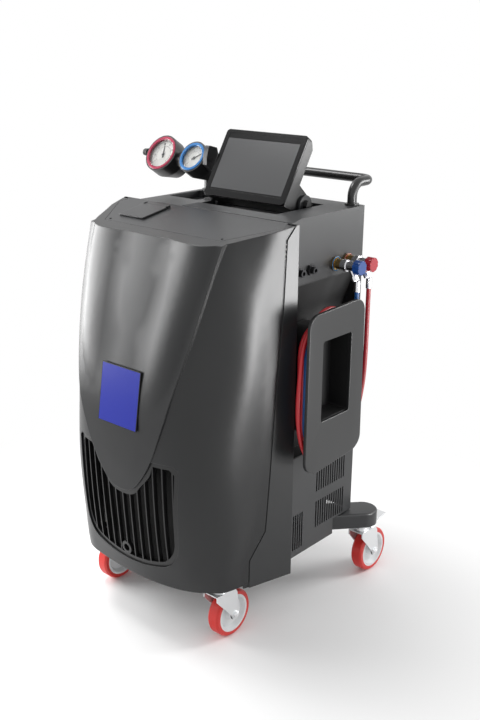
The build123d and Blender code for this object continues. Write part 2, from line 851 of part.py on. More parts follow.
with BuildPart() as side_panel_right:
    with BuildSketch(side(body_half - sheet)):
        with BuildLine():
            Polyline((body_front, floor_under), (body_rear, floor_under), (body_rear, panel_top),
                     (fall_start, panel_top), (body_front, fall_front - cover_thick), close=True)
        make_face()
        with Locations(((bay_front + bay_rear) / 2, (bay_low + bay_high) / 2)):
            Rectangle(bay_rear - bay_front + 0.4, bay_high - bay_low + 0.4, mode=Mode.SUBTRACT)
        for y in (low_port_y, high_port_y):
            with Locations((y, port_z)):
                Circle(7.2, mode=Mode.SUBTRACT)
        for y in (low_outlet_y, high_outlet_y):
            with Locations((y, outlet_z)):
                Circle(9.2, mode=Mode.SUBTRACT)
    extrude(amount=sheet)
    vents(body_half, 70, 317, 381, 13, 10, 5)
    vents(body_half, 70, 212, 288, 13, 10, 5)
    vents(body_half, -68, 180, 281, 5, 9, 5)
    arm_notch()
side_panel_right.part.label = "side_panel_right"
export_step(side_panel_right.part, "parts/side_panel_right.step")

with BuildPart() as side_panel_left:
    with BuildSketch(side(-body_half)):
        with BuildLine():
            Polyline((body_front, floor_under), (body_rear, floor_under), (body_rear, tray_low - cover_thick),
                     (body_front, tray_low - cover_thick), close=True)
        make_face()
    extrude(amount=sheet)
    vents(-body_half, 70, 317, 381, 13, 10, 5)
    vents(-body_half, 70, 212, 288, 13, 10, 5)
    vents(-body_half, -68, 180, 281, 5, 9, 5)
    arm_notch()
side_panel_left.part.label = "side_panel_left"
export_step(side_panel_left.part, "parts/side_panel_left.step")

# Rear panel with a fan grille of slots, a panel for the inlet and switch, notches for the outriggers
with BuildPart() as rear_panel:
    with BuildSketch(facing(body_rear)):
        with BuildLine():
            Polyline((-body_half + sheet, floor_under), (body_half - sheet, floor_under),
                     (body_half - sheet, panel_top), (-58, panel_top), (-112, tray_low - cover_thick),
                     (-body_half + sheet, tray_low - cover_thick), close=True)
        make_face()
        with Locations((-body_half, floor_under), (body_half, floor_under)):
            Rectangle(2 * notch_back, 2 * (outrigger_height + 3), mode=Mode.SUBTRACT)
        with Locations((60, 860)):
            with GridLocations(1, 14, 1, 9):
                SlotOverall(180, 6, mode=Mode.SUBTRACT)
        with Locations((60, 300)):
            with GridLocations(1, 14, 1, 9):
                SlotOverall(180, 6, mode=Mode.SUBTRACT)
        with Locations((inlet_x, inlet_z)):
            Rectangle(28, 21, mode=Mode.SUBTRACT)
        with Locations((switch_x, switch_z)):
            Rectangle(22.4, 30.4, mode=Mode.SUBTRACT)
    extrude(amount=sheet)
rear_panel.part.label = "rear_panel"
export_step(rear_panel.part, "parts/rear_panel.step")

with BuildPart() as power_inlet:
    with BuildSketch(facing(body_rear)):
        with Locations((inlet_x, inlet_z)):
            RectangleRounded(48, 30, 4)
    extrude(amount=-3)
    with BuildSketch(facing(body_rear)):
        with Locations((inlet_x, inlet_z)):
            Rectangle(27.6, 20.6)
    extrude(amount=26)
    with BuildSketch(facing(body_rear + 3)):
        with Locations((inlet_x, inlet_z)):
            Rectangle(23, 16)
    extrude(amount=24, mode=Mode.SUBTRACT)
    with BuildSketch(facing(body_rear - 21)):
        with Locations((inlet_x, inlet_z)):
            with GridLocations(7, 1, 3, 1):
                Rectangle(2, 5)
    extrude(amount=-16)
power_inlet.part.label = "power_inlet"
export_step(power_inlet.part, "parts/power_inlet.step")

# Rocker of the main switch with its pivot bore along X
with BuildPart() as main_switch:
    with BuildSketch(side(switch_x - 10.9)):
        with BuildLine():
            Polyline((body_rear + 1, switch_z - 14), (body_rear + 5, switch_z - 14),
                     (body_rear + 1.6, switch_z),
                     (body_rear + 2.6, switch_z + 14), (body_rear - 1, switch_z + 14),
                     (body_rear - 9, switch_z + 4), (body_rear - 9, switch_z - 4), close=True)
        make_face()
        with Locations((body_rear, switch_z)):
            Circle(1.2, mode=Mode.SUBTRACT)
    extrude(amount=21.8)
main_switch.part.label = "main_switch"
export_step(main_switch.part, "parts/main_switch.step")

# Floor plate with folded front step, front caster seats and a rear cross rail
with BuildPart() as base_frame:
    with BuildSketch(level(floor_under)) as floor_shape:
        with BuildLine():
            Polyline((0, -372), (176, -362), (232, -300), (232, body_front), (body_half - sheet, body_front),
                     (body_half - sheet, body_rear - notch_back - 3),
                     (188, body_rear - sheet), (0, body_rear - sheet), (0, -372))
        make_face()
        mirror(about=Plane.YZ)
        with Locations((front_swivel_x, front_swivel_y), (-front_swivel_x, front_swivel_y)):
            Circle(6.2, mode=Mode.SUBTRACT)
    extrude(amount=floor_thick)
    # Stiffening rails along the floor
    for x in (-224.0, 224.0):
        with BuildSketch(level(floor_under + floor_thick)):
            with Locations((x, -95)):
                Rectangle(16, 370)
        extrude(amount=22)
base_frame.part.label = "base_frame"
export_step(base_frame.part, "parts/base_frame.step")

# Outriggers: rounded arms that reach out of the rear corners to the rear casters
with BuildPart() as rear_outriggers:
    for x in (1, -1):
        with BuildSketch(level(floor_under)):
            with BuildLine():
                Line((x * 250, 96), (x * (rear_swivel_x + 28), rear_swivel_y - 28))
                Line((x * (rear_swivel_x - 28), rear_swivel_y + 28), (x * 190, 150))
                Line((x * 190, 150), (x * 190, 96))
                Line((x * 190, 96), (x * 250, 96))
                ThreePointArc(
                    (x * (rear_swivel_x + 28), rear_swivel_y - 28),
                    (x * (rear_swivel_x + 28.3), rear_swivel_y + 28.3),
                    (x * (rear_swivel_x - 28), rear_swivel_y + 28),
                )
            make_face()
        extrude(amount=outrigger_height)
    fillet(rear_outriggers.faces().group_by(Axis.Z)[-1].edges(), 6)
    with BuildSketch(level(floor_under - 1)):
        with Locations((rear_swivel_x, rear_swivel_y), (-rear_swivel_x, rear_swivel_y)):
            Circle(6.2)
    extrude(amount=26, mode=Mode.SUBTRACT)
    add(base_frame.part, mode=Mode.SUBTRACT)
rear_outriggers.part.label = "rear_outriggers"
export_step(rear_outriggers.part, "parts/rear_outriggers.step")

# Hose bay: a moulded recess with a coved ceiling, open to the right
bay_y = (bay_front + bay_rear) / 2


def bay_profile(wall):
    """Recess seen from the front, drawn out by wall; the open side is at the panel."""
    with BuildLine() as outline:
        Line((body_half + 1, bay_low - wall + bay_wall), (bay_floor_x - wall, bay_low - wall + bay_wall))
        Line((bay_floor_x - wall, bay_low - wall + bay_wall), (bay_floor_x - wall, 784))
        Spline((bay_floor_x - wall, 784), (bay_floor_x + 15 - wall * 0.8, 834 + wall * 0.5),
               (body_half - 6 - wall * 0.5, bay_high - bay_wall + wall), tangents=((0, 1), (0.5, 1)))
        Line((body_half - 6 - wall * 0.5, bay_high - bay_wall + wall),
             (body_half + 1, bay_high - bay_wall + wall))
        Line((body_half + 1, bay_high - bay_wall + wall), (body_half + 1, bay_low - wall + bay_wall))
    make_face(outline.edges())


with BuildPart() as hose_bay:
    with BuildSketch(facing(bay_rear)):
        bay_profile(bay_wall)
    extrude(amount=bay_rear - bay_front)
    with BuildSketch(facing(bay_rear - bay_wall)):
        bay_profile(0)
    extrude(amount=bay_rear - bay_front - 2 * bay_wall, mode=Mode.SUBTRACT)
    split(bisect_by=side(body_half), keep=Keep.BOTTOM)
    fillet(hose_bay.edges().filter_by(Axis.Z).group_by(Axis.X)[0], 4)
    # Screw posts that the winder drum is fixed to
    with BuildSketch(side(bay_floor_x)):
        with Locations((winder_y, winder_z)):
            with GridLocations(60, 200, 2, 2):
                Circle(7)
    extrude(amount=6)
hose_bay.part.label = "hose_bay"
export_step(hose_bay.part, "parts/hose_bay.step")

with BuildPart() as hose_drum:
    with BuildSketch(side(bay_floor_x + 6)):
        with Locations((winder_y + 7, winder_z)):
            RectangleRounded(drum_width - 20, drum_height - 10, drum_corner - 10)
    extrude(amount=high_coil_x - 4 - bay_floor_x - 6)
    with BuildSketch(side(high_coil_x - 4)):
        with Locations((winder_y, winder_z)):
            RectangleRounded(drum_width, drum_height, drum_corner)
    extrude(amount=plate_inner_x - high_coil_x + 4)
    with BuildSketch(side(plate_inner_x)):
        with Locations((winder_y, window_z)):
            RectangleRounded(window_width, window_height - 2, 6)
    extrude(amount=-pocket_deep, mode=Mode.SUBTRACT)
hose_drum.part.label = "hose_drum"
export_step(hose_drum.part, "parts/hose_drum.step")

with BuildPart() as winder_plate:
    with BuildSketch(side(plate_inner_x)):
        with BuildLine():
            top = winder_z + plate_height / 2
            low = winder_z - plate_height / 2
            front = winder_y - plate_width / 2
            rear = winder_y + plate_width / 2
            FilletPolyline((front + 4, top), (rear - 6, top + 8), (rear, low + 20), (rear - 26, low + 2),
                           (front + 40, low - 12), (front, low + 8), radius=34, close=True)
        make_face()
        with Locations((winder_y, window_z)):
            RectangleRounded(window_width, window_height, 6, mode=Mode.SUBTRACT)
    extrude(amount=plate_thick)
    fillet(winder_plate.faces().sort_by(Axis.X)[-1].edges(), 2)
winder_plate.part.label = "winder_plate"
export_step(winder_plate.part, "parts/winder_plate.step")

# Fixed fittings on the panel: two outlets to the front, two storage ports to the rear
with BuildPart() as outlet_fittings:
    for y in (low_outlet_y, high_outlet_y):
        with BuildSketch(side(body_half)):
            with Locations((y, outlet_z)):
                RegularPolygon(14, 6)
        extrude(amount=7)
        with BuildSketch(side(body_half - 14)):
            with Locations((y, outlet_z)):
                Circle(9)
        extrude(amount=32)
        with BuildSketch(side(body_half + 18)):
            with Locations((y, outlet_z)):
                Circle(5)
        extrude(amount=-16, mode=Mode.SUBTRACT)
outlet_fittings.part.label = "outlet_fittings"
export_step(outlet_fittings.part, "parts/outlet_fittings.step")

with BuildPart() as storage_ports:
    for y in (low_port_y, high_port_y):
        with BuildSketch(side(body_half)):
            with Locations((y, port_z)):
                Circle(17)
        extrude(amount=4)
        with BuildSketch(side(body_half - 12)):
            with Locations((y, port_z)):
                Circle(7)
        extrude(amount=12 + port_stem)
storage_ports.part.label = "storage_ports"
export_step(storage_ports.part, "parts/storage_ports.step")


# Quick couplers on the storage ports, their knobs, and the hose ends below them
def coupler(y, size):
    """Sleeve on the port, body with a slanted outlet, nut and ferrule above the hose."""
    for start, length, radius in ((coupler_x, 22, 13), (coupler_x + 20, 10, 15), (coupler_x + 28, 26, 12)):
        with BuildSketch(side(start)) as ring:
            with Locations((y, port_z)):
                Circle(radius * size)
        extrude(ring.sketch, amount=length)
    elbow = Plane(
        origin=(mid_x + coupler_x + 35.8, mid_y + y, port_z),
        x_dir=(0, 1, 0),
        z_dir=(sin(radians(outlet_tilt)), 0, -cos(radians(outlet_tilt))),
    )
    with BuildSketch(elbow) as neck:
        Circle(7)
    extrude(neck.sketch, amount=39)
    with BuildSketch(elbow.offset(28)) as nut:
        RegularPolygon(8.5, 6)
    extrude(nut.sketch, amount=11)
    with BuildSketch(level(hose_top_z)) as ferrule:
        with Locations((hose_top_x, y)):
            Circle(hose_size / 2 + 1.6)
    extrude(ferrule.sketch, amount=26)
    with BuildSketch(side(body_half)) as bore:
        with Locations((y, port_z)):
            Circle(7 + pin_clearance)
    extrude(bore.sketch, amount=port_stem + 1, mode=Mode.SUBTRACT)
    with BuildSketch(side(coupler_x + 54)) as shaft_hole:
        with Locations((y, port_z)):
            Circle(4 + pin_clearance)
    extrude(shaft_hole.sketch, amount=-14, mode=Mode.SUBTRACT)


def coupler_knob(y):
    """Fluted knob on a short shaft."""
    with BuildSketch(side(coupler_x + 54.3)) as knob:
        with Locations((y, port_z)):
            Circle(knob_radius)
            with PolarLocations(knob_radius + 1.2, 10):
                Circle(2.6, mode=Mode.SUBTRACT)
    extrude(knob.sketch, amount=knob_length)
    with BuildSketch(side(coupler_x + 54.3)) as shaft:
        with Locations((y, port_z)):
            Circle(4)
    extrude(shaft.sketch, amount=-13)


with BuildPart() as coupler_low_body:
    coupler(low_port_y, 1.0)
coupler_low_body.part.label = "coupler_low_body"
export_step(coupler_low_body.part, "parts/coupler_low_body.step")

with BuildPart() as coupler_high_body:
    coupler(high_port_y, 1.1)
coupler_high_body.part.label = "coupler_high_body"
export_step(coupler_high_body.part, "parts/coupler_high_body.step")

with BuildPart() as coupler_low_knob:
    coupler_knob(low_port_y)
    chamfer(coupler_low_knob.faces().sort_by(Axis.X)[-1].edges(), 1)
coupler_low_knob.part.label = "coupler_low_knob"
export_step(coupler_low_knob.part, "parts/coupler_low_knob.step")

with BuildPart() as coupler_high_knob:
    coupler_knob(high_port_y)
    chamfer(coupler_high_knob.faces().sort_by(Axis.X)[-1].edges(), 1)
coupler_high_knob.part.label = "coupler_high_knob"
export_step(coupler_high_knob.part, "parts/coupler_high_knob.step")

# Hoses: the free stretch from each coupler, then the turns on the drum as one ring each
low_route = [
    (339, 54, 862), (339, 54, 812), (340, 58, 758), (340.5, 53, 704), (340.5, 47.5, 654),
]
high_route = [
    (339, 104, 862), (339, 104, 780), (341, 102, 700), (338, 103, 620), (332, 92, 543),
    (330, 62, 478), (331, 12, 437), (330, -50, 428), (330, -108, 458), (331, -146, 522),
    (330, -160, 602), (331, -155, 690), (328, -142, 772), (324, -84, 828), (318, -18, 836),
    (316, 36, 806), (314, 52, 748), (313, 43, 690), (313, 37, 640),
]


def arc_radii(route):
    """Radius at each inner point: 0.45 of the shorter run over the tangent of half the turn."""
    radii = []
    for before, at, after in zip(route, route[1:], route[2:]):
        first = Vector(*at) - Vector(*before)
        second = Vector(*after) - Vector(*at)
        turn = radians(first.get_angle(second))
        radii.append(0.45 * min(first.length, second.length) / tan(turn / 2))
    return radii


def hose(route):
    """Tube along the route: straight runs joined by tangent arcs."""
    radii = arc_radii(route)
    print("hose radii", [round(radius) for radius in radii])
    with BuildLine(level(0)) as path:
        FilletPolyline(*route, radius=radii)
    with BuildSketch(Plane(origin=path.wire() @ 0, z_dir=path.wire() % 0)) as section:
        Circle(hose_size / 2)
    sweep(section.sketch, path=path.wire())


def coil(x, depth):
    """Outer shape of the turns on the drum."""
    with BuildSketch(side(x)) as ring:
        with Locations((winder_y, winder_z)):
            RectangleRounded(drum_width + 2 * depth, drum_height + 2 * depth,
                             drum_corner + depth)
            RectangleRounded(drum_width, drum_height, drum_corner, mode=Mode.SUBTRACT)
    extrude(ring.sketch, amount=coil_width)


with BuildPart() as hose_low_tube:
    hose(low_route)
hose_low_tube.part.label = "hose_low_tube"
export_step(hose_low_tube.part, "parts/hose_low_tube.step")

with BuildPart() as hose_high_tube:
    hose(high_route)
hose_high_tube.part.label = "hose_high_tube"
export_step(hose_high_tube.part, "parts/hose_high_tube.step")

with BuildPart() as hose_low_coil:
    coil(low_coil_x, low_coil_depth)
hose_low_coil.part.label = "hose_low_coil"
export_step(hose_low_coil.part, "parts/hose_low_coil.step")

with BuildPart() as hose_high_coil:
    coil(high_coil_x, high_coil_depth)
hose_high_coil.part.label = "hose_high_coil"
export_step(hose_high_coil.part, "parts/hose_high_coil.step")

# Casters: a swivel head under a stem, a pressed fork, and a wheel of hub and tread
leg_gap = tread_width / 2 + 3.5
crown_z = 2 * wheel_radius + 12.0
axle_end = leg_gap + fork_sheet + 5.0


def caster_fork(x, y, braked):
    """Fork with its swivel head, stem and axle; the wheel trails to the rear."""
    if braked:
        for ear_x in (x - 19.3, x + 16.3):
            with BuildSketch(side(ear_x)) as ear:
                with BuildLine() as outline:
                    Polyline((y + 20, crown_z + 1), (y + 33, crown_z + 1), (y + 31, crown_z + 12),
                             (y + 22, crown_z + 12), close=True)
                make_face(outline.edges())
                with Locations((y + 26, crown_z + 7.2)):
                    Circle(pedal_pin / 2 + pin_clearance, mode=Mode.SUBTRACT)
            extrude(ear.sketch, amount=3)
    with BuildSketch(side(x - leg_gap - fork_sheet)) as leg:
        with BuildLine() as outline:
            Polyline((y - 30, crown_z + fork_sheet), (y - 30, crown_z - 12),
                     (y + trail - 15, wheel_radius + 2),
                     (y + trail - 8, wheel_radius - 12), (y + trail + 8, wheel_radius - 12),
                     (y + trail + 15, wheel_radius + 2), (y + trail + 6, crown_z - 10),
                     (y + 34, crown_z + fork_sheet), close=True)
        make_face(outline.edges())
    extrude(leg.sketch, amount=fork_sheet)
    extrude(leg.sketch.translate((2 * leg_gap + fork_sheet, 0, 0)), amount=fork_sheet)
    with BuildSketch(level(crown_z)) as crown:
        with Locations((x, y + 2)):
            Rectangle(2 * (leg_gap + fork_sheet), 64)
    extrude(crown.sketch, amount=fork_sheet)
    with BuildSketch(level(crown_z + fork_sheet)) as head:
        with Locations((x, y)):
            Circle(head_radius)
    extrude(head.sketch, amount=6, taper=8)
    with BuildSketch(level(crown_z + fork_sheet + 6)) as race:
        with Locations((x, y)):
            Circle(head_radius - 2)
    extrude(race.sketch, amount=floor_under - fit_gap - crown_z - fork_sheet - 6)
    with BuildSketch(level(floor_under - fit_gap)) as stem:
        with Locations((x, y)):
            Circle(6.2 - pin_clearance)
    extrude(stem.sketch, amount=floor_thick + fit_gap)
    with BuildSketch(side(x - axle_end)) as axle:
        with Locations((y + trail, wheel_radius)):
            Circle(axle_radius)
    extrude(axle.sketch, amount=2 * axle_end)


def caster_hub(x, y):
    """Hub: bore, web and rim in one turned profile."""
    with BuildSketch(Plane(origin=(mid_x + x, mid_y + y + trail, wheel_radius), x_dir=(1, 0, 0),
                           z_dir=(0, -1, 0))) as profile:
        half = tread_width / 2
        bore = axle_radius + pin_clearance
        with BuildLine() as outline:
            Polyline((-half - 3, bore), (half + 3, bore), (half + 3, 16), (6, 20), (6, 38), (half, 44),
                     (half, rim_radius), (-half, rim_radius), (-half, 44), (-6, 38), (-6, 20),
                     (-half - 3, 16),
                     close=True)
        make_face(outline.edges())
    revolve(profile.sketch, axis=Axis((mid_x + x, mid_y + y + trail, wheel_radius), (1, 0, 0)))


def caster_tread(x, y):
    """Tread: a band with rounded shoulders on the rim."""
    with BuildSketch(Plane(origin=(mid_x + x, mid_y + y + trail, wheel_radius), x_dir=(1, 0, 0),
                           z_dir=(0, -1, 0))) as profile:
        half = tread_width / 2
        with BuildLine() as outline:
            Polyline((-half, rim_radius), (half, rim_radius), (half, wheel_radius - 4),
                     (half - 5, wheel_radius),
                     (-half + 5, wheel_radius), (-half, wheel_radius - 4), close=True)
        make_face(outline.edges())
    revolve(profile.sketch, axis=Axis((mid_x + x, mid_y + y + trail, wheel_radius), (1, 0, 0)))


def brake_pedal(x, y):
    """Pedal on the fork's crown that reaches over the wheel."""
    with BuildSketch(side(x - 16)) as profile:
        with BuildLine() as outline:
            Polyline((y + 24, crown_z + 5.5), (y + 24, crown_z + 9), (y + 58, crown_z + 16),
                     (y + 96, crown_z + 20), (y + 98, crown_z + 17.5), (y + 58, crown_z + 12.5),
                     (y + 40, crown_z + 8), close=True)
        make_face(outline.edges())
    extrude(profile.sketch, amount=32)
    with BuildSketch(side(x - 19)) as pin:
        with Locations((y + 26, crown_z + 7.2)):
            Circle(pedal_pin / 2)
    extrude(pin.sketch, amount=38)


with BuildPart() as caster_front_left_fork:
    caster_fork(-front_swivel_x, front_swivel_y, False)
caster_front_left_fork.part.label = "caster_front_left_fork"
export_step(caster_front_left_fork.part, "parts/caster_front_left_fork.step")

with BuildPart() as caster_front_left_hub:
    caster_hub(-front_swivel_x, front_swivel_y)
caster_front_left_hub.part.label = "caster_front_left_hub"
export_step(caster_front_left_hub.part, "parts/caster_front_left_hub.step")

with BuildPart() as caster_front_left_tread:
    caster_tread(-front_swivel_x, front_swivel_y)
caster_front_left_tread.part.label = "caster_front_left_tread"
export_step(caster_front_left_tread.part, "parts/caster_front_left_tread.step")

with BuildPart() as caster_front_right_fork:
    caster_fork(front_swivel_x, front_swivel_y, False)
caster_front_right_fork.part.label = "caster_front_right_fork"
export_step(caster_front_right_fork.part, "parts/caster_front_right_fork.step")

with BuildPart() as caster_front_right_hub:
    caster_hub(front_swivel_x, front_swivel_y)
caster_front_right_hub.part.label = "caster_front_right_hub"
export_step(caster_front_right_hub.part, "parts/caster_front_right_hub.step")

with BuildPart() as caster_front_right_tread:
    caster_tread(front_swivel_x, front_swivel_y)
caster_front_right_tread.part.label = "caster_front_right_tread"
export_step(caster_front_right_tread.part, "parts/caster_front_right_tread.step")

with BuildPart() as caster_rear_left_fork:
    caster_fork(-rear_swivel_x, rear_swivel_y, True)
caster_rear_left_fork.part.label = "caster_rear_left_fork"
export_step(caster_rear_left_fork.part, "parts/caster_rear_left_fork.step")

with BuildPart() as caster_rear_left_hub:
    caster_hub(-rear_swivel_x, rear_swivel_y)
caster_rear_left_hub.part.label = "caster_rear_left_hub"
export_step(caster_rear_left_hub.part, "parts/caster_rear_left_hub.step")

with BuildPart() as caster_rear_left_tread:
    caster_tread(-rear_swivel_x, rear_swivel_y)
caster_rear_left_tread.part.label = "caster_rear_left_tread"
export_step(caster_rear_left_tread.part, "parts/caster_rear_left_tread.step")

with BuildPart() as caster_rear_right_fork:
    caster_fork(rear_swivel_x, rear_swivel_y, True)
caster_rear_right_fork.part.label = "caster_rear_right_fork"
export_step(caster_rear_right_fork.part, "parts/caster_rear_right_fork.step")

with BuildPart() as caster_rear_right_hub:
    caster_hub(rear_swivel_x, rear_swivel_y)
caster_rear_right_hub.part.label = "caster_rear_right_hub"
export_step(caster_rear_right_hub.part, "parts/caster_rear_right_hub.step")

with BuildPart() as caster_rear_right_tread:
    caster_tread(rear_swivel_x, rear_swivel_y)
caster_rear_right_tread.part.label = "caster_rear_right_tread"
export_step(caster_rear_right_tread.part, "parts/caster_rear_right_tread.step")

with BuildPart() as brake_pedal_left:
    brake_pedal(-rear_swivel_x, rear_swivel_y)
brake_pedal_left.part.label = "brake_pedal_left"
export_step(brake_pedal_left.part, "parts/brake_pedal_left.step")

with BuildPart() as brake_pedal_right:
    brake_pedal(rear_swivel_x, rear_swivel_y)
brake_pedal_right.part.label = "brake_pedal_right"
export_step(brake_pedal_right.part, "parts/brake_pedal_right.step")

# Inside the cabinet: refrigerant tank on its scale, compressor, vacuum pump, condenser and its fan
deck = floor_under + floor_thick
with BuildPart() as refrigerant_tank:
    with BuildSketch(Plane(origin=(mid_x + tank_x, mid_y + tank_y, 0), x_dir=(1, 0, 0), z_dir=(0, -1, 0))):
        with BuildLine():
            Polyline((0, deck), (tank_radius - 14, deck), (tank_radius - 14, deck + 14),
                     (tank_radius - 20, deck + 20))
            Spline((tank_radius - 20, deck + 20), (tank_radius, deck + 60), tangents=((1, 0.2), (0, 1)))
            Line((tank_radius, deck + 60), (tank_radius, deck + 310))
            Spline((tank_radius, deck + 310), (tank_radius - 40, deck + 355), (0, deck + 366),
                   tangents=((0, 1), (-1, 0)))
            Line((0, deck + 366), (0, deck))
        make_face()
    revolve(axis=Axis((mid_x + tank_x, mid_y + tank_y, 0), (0, 0, 1)))
    with BuildSketch(level(deck + 362)):
        with Locations((tank_x - 18, tank_y), (tank_x + 18, tank_y)):
            Circle(8)
    extrude(amount=40)
refrigerant_tank.part.label = "refrigerant_tank"
export_step(refrigerant_tank.part, "parts/refrigerant_tank.step")

with BuildPart() as compressor:
    with BuildSketch(Plane(origin=(mid_x + compressor_x, mid_y + compressor_y, 0), x_dir=(1, 0, 0),
                           z_dir=(0, -1, 0))):
        with BuildLine():
            Polyline((0, deck), (72, deck), (72, deck + 4), (60, deck + 12))
            Spline((60, deck + 12), (78, deck + 60), (78, deck + 110), (56, deck + 168), (0, deck + 186),
                   tangents=((1, 0.6), (-1, 0)))
            Line((0, deck + 186), (0, deck))
        make_face()
    revolve(axis=Axis((mid_x + compressor_x, mid_y + compressor_y, 0), (0, 0, 1)))
compressor.part.label = "compressor"
export_step(compressor.part, "parts/compressor.step")

with BuildPart() as vacuum_pump:
    with BuildSketch(level(deck)):
        with Locations((pump_x, pump_rear - 39)):
            Rectangle(96, 78)
    extrude(amount=10)
    with BuildSketch(facing(pump_rear)):
        with Locations((pump_x, deck + 62)):
            Circle(46)
    extrude(amount=78)
    with BuildSketch(facing(pump_rear)):
        with Locations((pump_x, deck + 30)):
            Rectangle(60, 52)
    extrude(amount=76)
    with BuildSketch(level(deck + 96)):
        with Locations((pump_x, pump_rear - 36)):
            Circle(14)
    extrude(amount=52)
vacuum_pump.part.label = "vacuum_pump"
export_step(vacuum_pump.part, "parts/vacuum_pump.step")

# Condenser behind the grille: finned core in a frame, shroud with the fan motor on its spider
condenser_z = deck + condenser_height / 2
with BuildPart() as condenser:
    with BuildSketch(facing(condenser_y + condenser_deep)):
        with Locations((0, condenser_z)):
            Rectangle(condenser_width, condenser_height)
    extrude(amount=condenser_deep)
    with BuildSketch(facing(condenser_y + condenser_deep + 34)):
        with Locations((0, condenser_z)):
            Rectangle(condenser_width, condenser_height)
            Circle(128, mode=Mode.SUBTRACT)
    extrude(amount=34)
    with BuildSketch(facing(condenser_y + condenser_deep + 34)):
        with Locations((0, condenser_z)):
            Rectangle(10, 2 * 132)
            Rectangle(2 * 132, 10)
            Circle(26)
            Circle(4 + pin_clearance, mode=Mode.SUBTRACT)
    extrude(amount=6)
condenser.part.label = "condenser"
export_step(condenser.part, "parts/condenser.step")

with BuildPart() as condenser_fan:
    with BuildSketch(facing(condenser_y + condenser_deep + 27)):
        with Locations((0, condenser_z)):
            Circle(30)
    extrude(amount=22)
    for turn in range(5):
        a = radians(72 * turn)
        out = Vector(sin(a), 0, cos(a))
        across = Vector(cos(a), 0, -sin(a))
        middle = Vector(mid_x, mid_y + condenser_y + condenser_deep + 16, condenser_z)
        for radius, chord, pitch in ((26, 34, 28), (118, 48, 16)):
            twist = radians(pitch)
            with BuildSketch(Plane(origin=middle + out * radius, z_dir=out,
                                   x_dir=across * cos(twist) + Vector(0, sin(twist), 0))):
                Rectangle(chord, 2.2)
        loft()
    with BuildSketch(facing(condenser_y + condenser_deep + 33)):
        with Locations((0, condenser_z)):
            Circle(4)
    extrude(amount=12)
condenser_fan.part.label = "condenser_fan"
export_step(condenser_fan.part, "parts/condenser_fan.step")
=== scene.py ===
import math

import bmesh
import bpy
from mathutils import Matrix, Vector


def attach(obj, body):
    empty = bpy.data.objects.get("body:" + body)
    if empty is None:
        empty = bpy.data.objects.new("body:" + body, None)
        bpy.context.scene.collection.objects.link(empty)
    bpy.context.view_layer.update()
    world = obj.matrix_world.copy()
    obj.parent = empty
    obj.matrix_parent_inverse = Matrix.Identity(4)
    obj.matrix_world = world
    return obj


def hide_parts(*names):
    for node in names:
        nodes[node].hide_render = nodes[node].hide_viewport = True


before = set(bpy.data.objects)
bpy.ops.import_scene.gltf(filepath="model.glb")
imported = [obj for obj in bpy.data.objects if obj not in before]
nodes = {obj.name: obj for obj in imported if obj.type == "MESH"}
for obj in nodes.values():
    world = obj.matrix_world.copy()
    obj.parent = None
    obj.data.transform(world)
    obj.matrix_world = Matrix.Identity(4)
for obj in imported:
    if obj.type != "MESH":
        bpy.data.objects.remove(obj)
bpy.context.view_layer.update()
scene = bpy.context.scene
MM = 0.001

# The machine's own coordinates: X from its middle plane, Y from a line a little ahead of the handle
MID_X = 3.25
MID_Y = 66.3


def at(x, y, z):
    """Point in metres in the row frame, from millimetres in the machine's own coordinates."""
    return Vector(((x + MID_X) * MM, (y + MID_Y) * MM, z * MM))


# Camera
CAMERA_PLACE = at(1638.8, -1867.1, 1465.3)
CAMERA_AZIMUTH = 41.11
CAMERA_ELEVATION = 18.74
CAMERA_ROLL = 0.40
FOCAL_PIXELS = 974.7
PHOTO_HEIGHT = 720
SENSOR = 36.0


def make_camera():
    """Camera fitted to the photo."""
    data = bpy.data.cameras.new("photo_camera")
    data.sensor_width = SENSOR
    data.lens = FOCAL_PIXELS / PHOTO_HEIGHT * SENSOR
    data.clip_start = 0.05
    data.clip_end = 40
    camera = bpy.data.objects.new("photo_camera", data)
    scene.collection.objects.link(camera)
    a, e, r = (math.radians(v) for v in (CAMERA_AZIMUTH, CAMERA_ELEVATION, CAMERA_ROLL))
    back = Vector((math.sin(a) * math.cos(e), -math.cos(a) * math.cos(e), math.sin(e)))
    right = Vector((math.cos(a), math.sin(a), 0))
    up = back.cross(right)
    rolled_right = right * math.cos(r) + up * math.sin(r)
    rolled_up = up * math.cos(r) - right * math.sin(r)
    turn = Matrix((rolled_right, rolled_up, back)).transposed().to_4x4()
    camera.matrix_world = Matrix.Translation(CAMERA_PLACE) @ turn
    scene.camera = camera


make_camera()

# Materials


def new_group(name, inputs, outputs):
    """Shader node group with named sockets; returns the group and its input and output nodes."""
    group = bpy.data.node_groups.new(name, "ShaderNodeTree")
    for label, kind, value in inputs:
        socket = group.interface.new_socket(label, in_out="INPUT", socket_type=kind)
        if value is not None:
            socket.default_value = value
    for label, kind in outputs:
        group.interface.new_socket(label, in_out="OUTPUT", socket_type=kind)
    return group, group.nodes.new("NodeGroupInput"), group.nodes.new("NodeGroupOutput")


def node(tree, kind, **settings):
    """New node with its settings."""
    made = tree.nodes.new(kind)
    for key, value in settings.items():
        setattr(made, key, value)
    return made


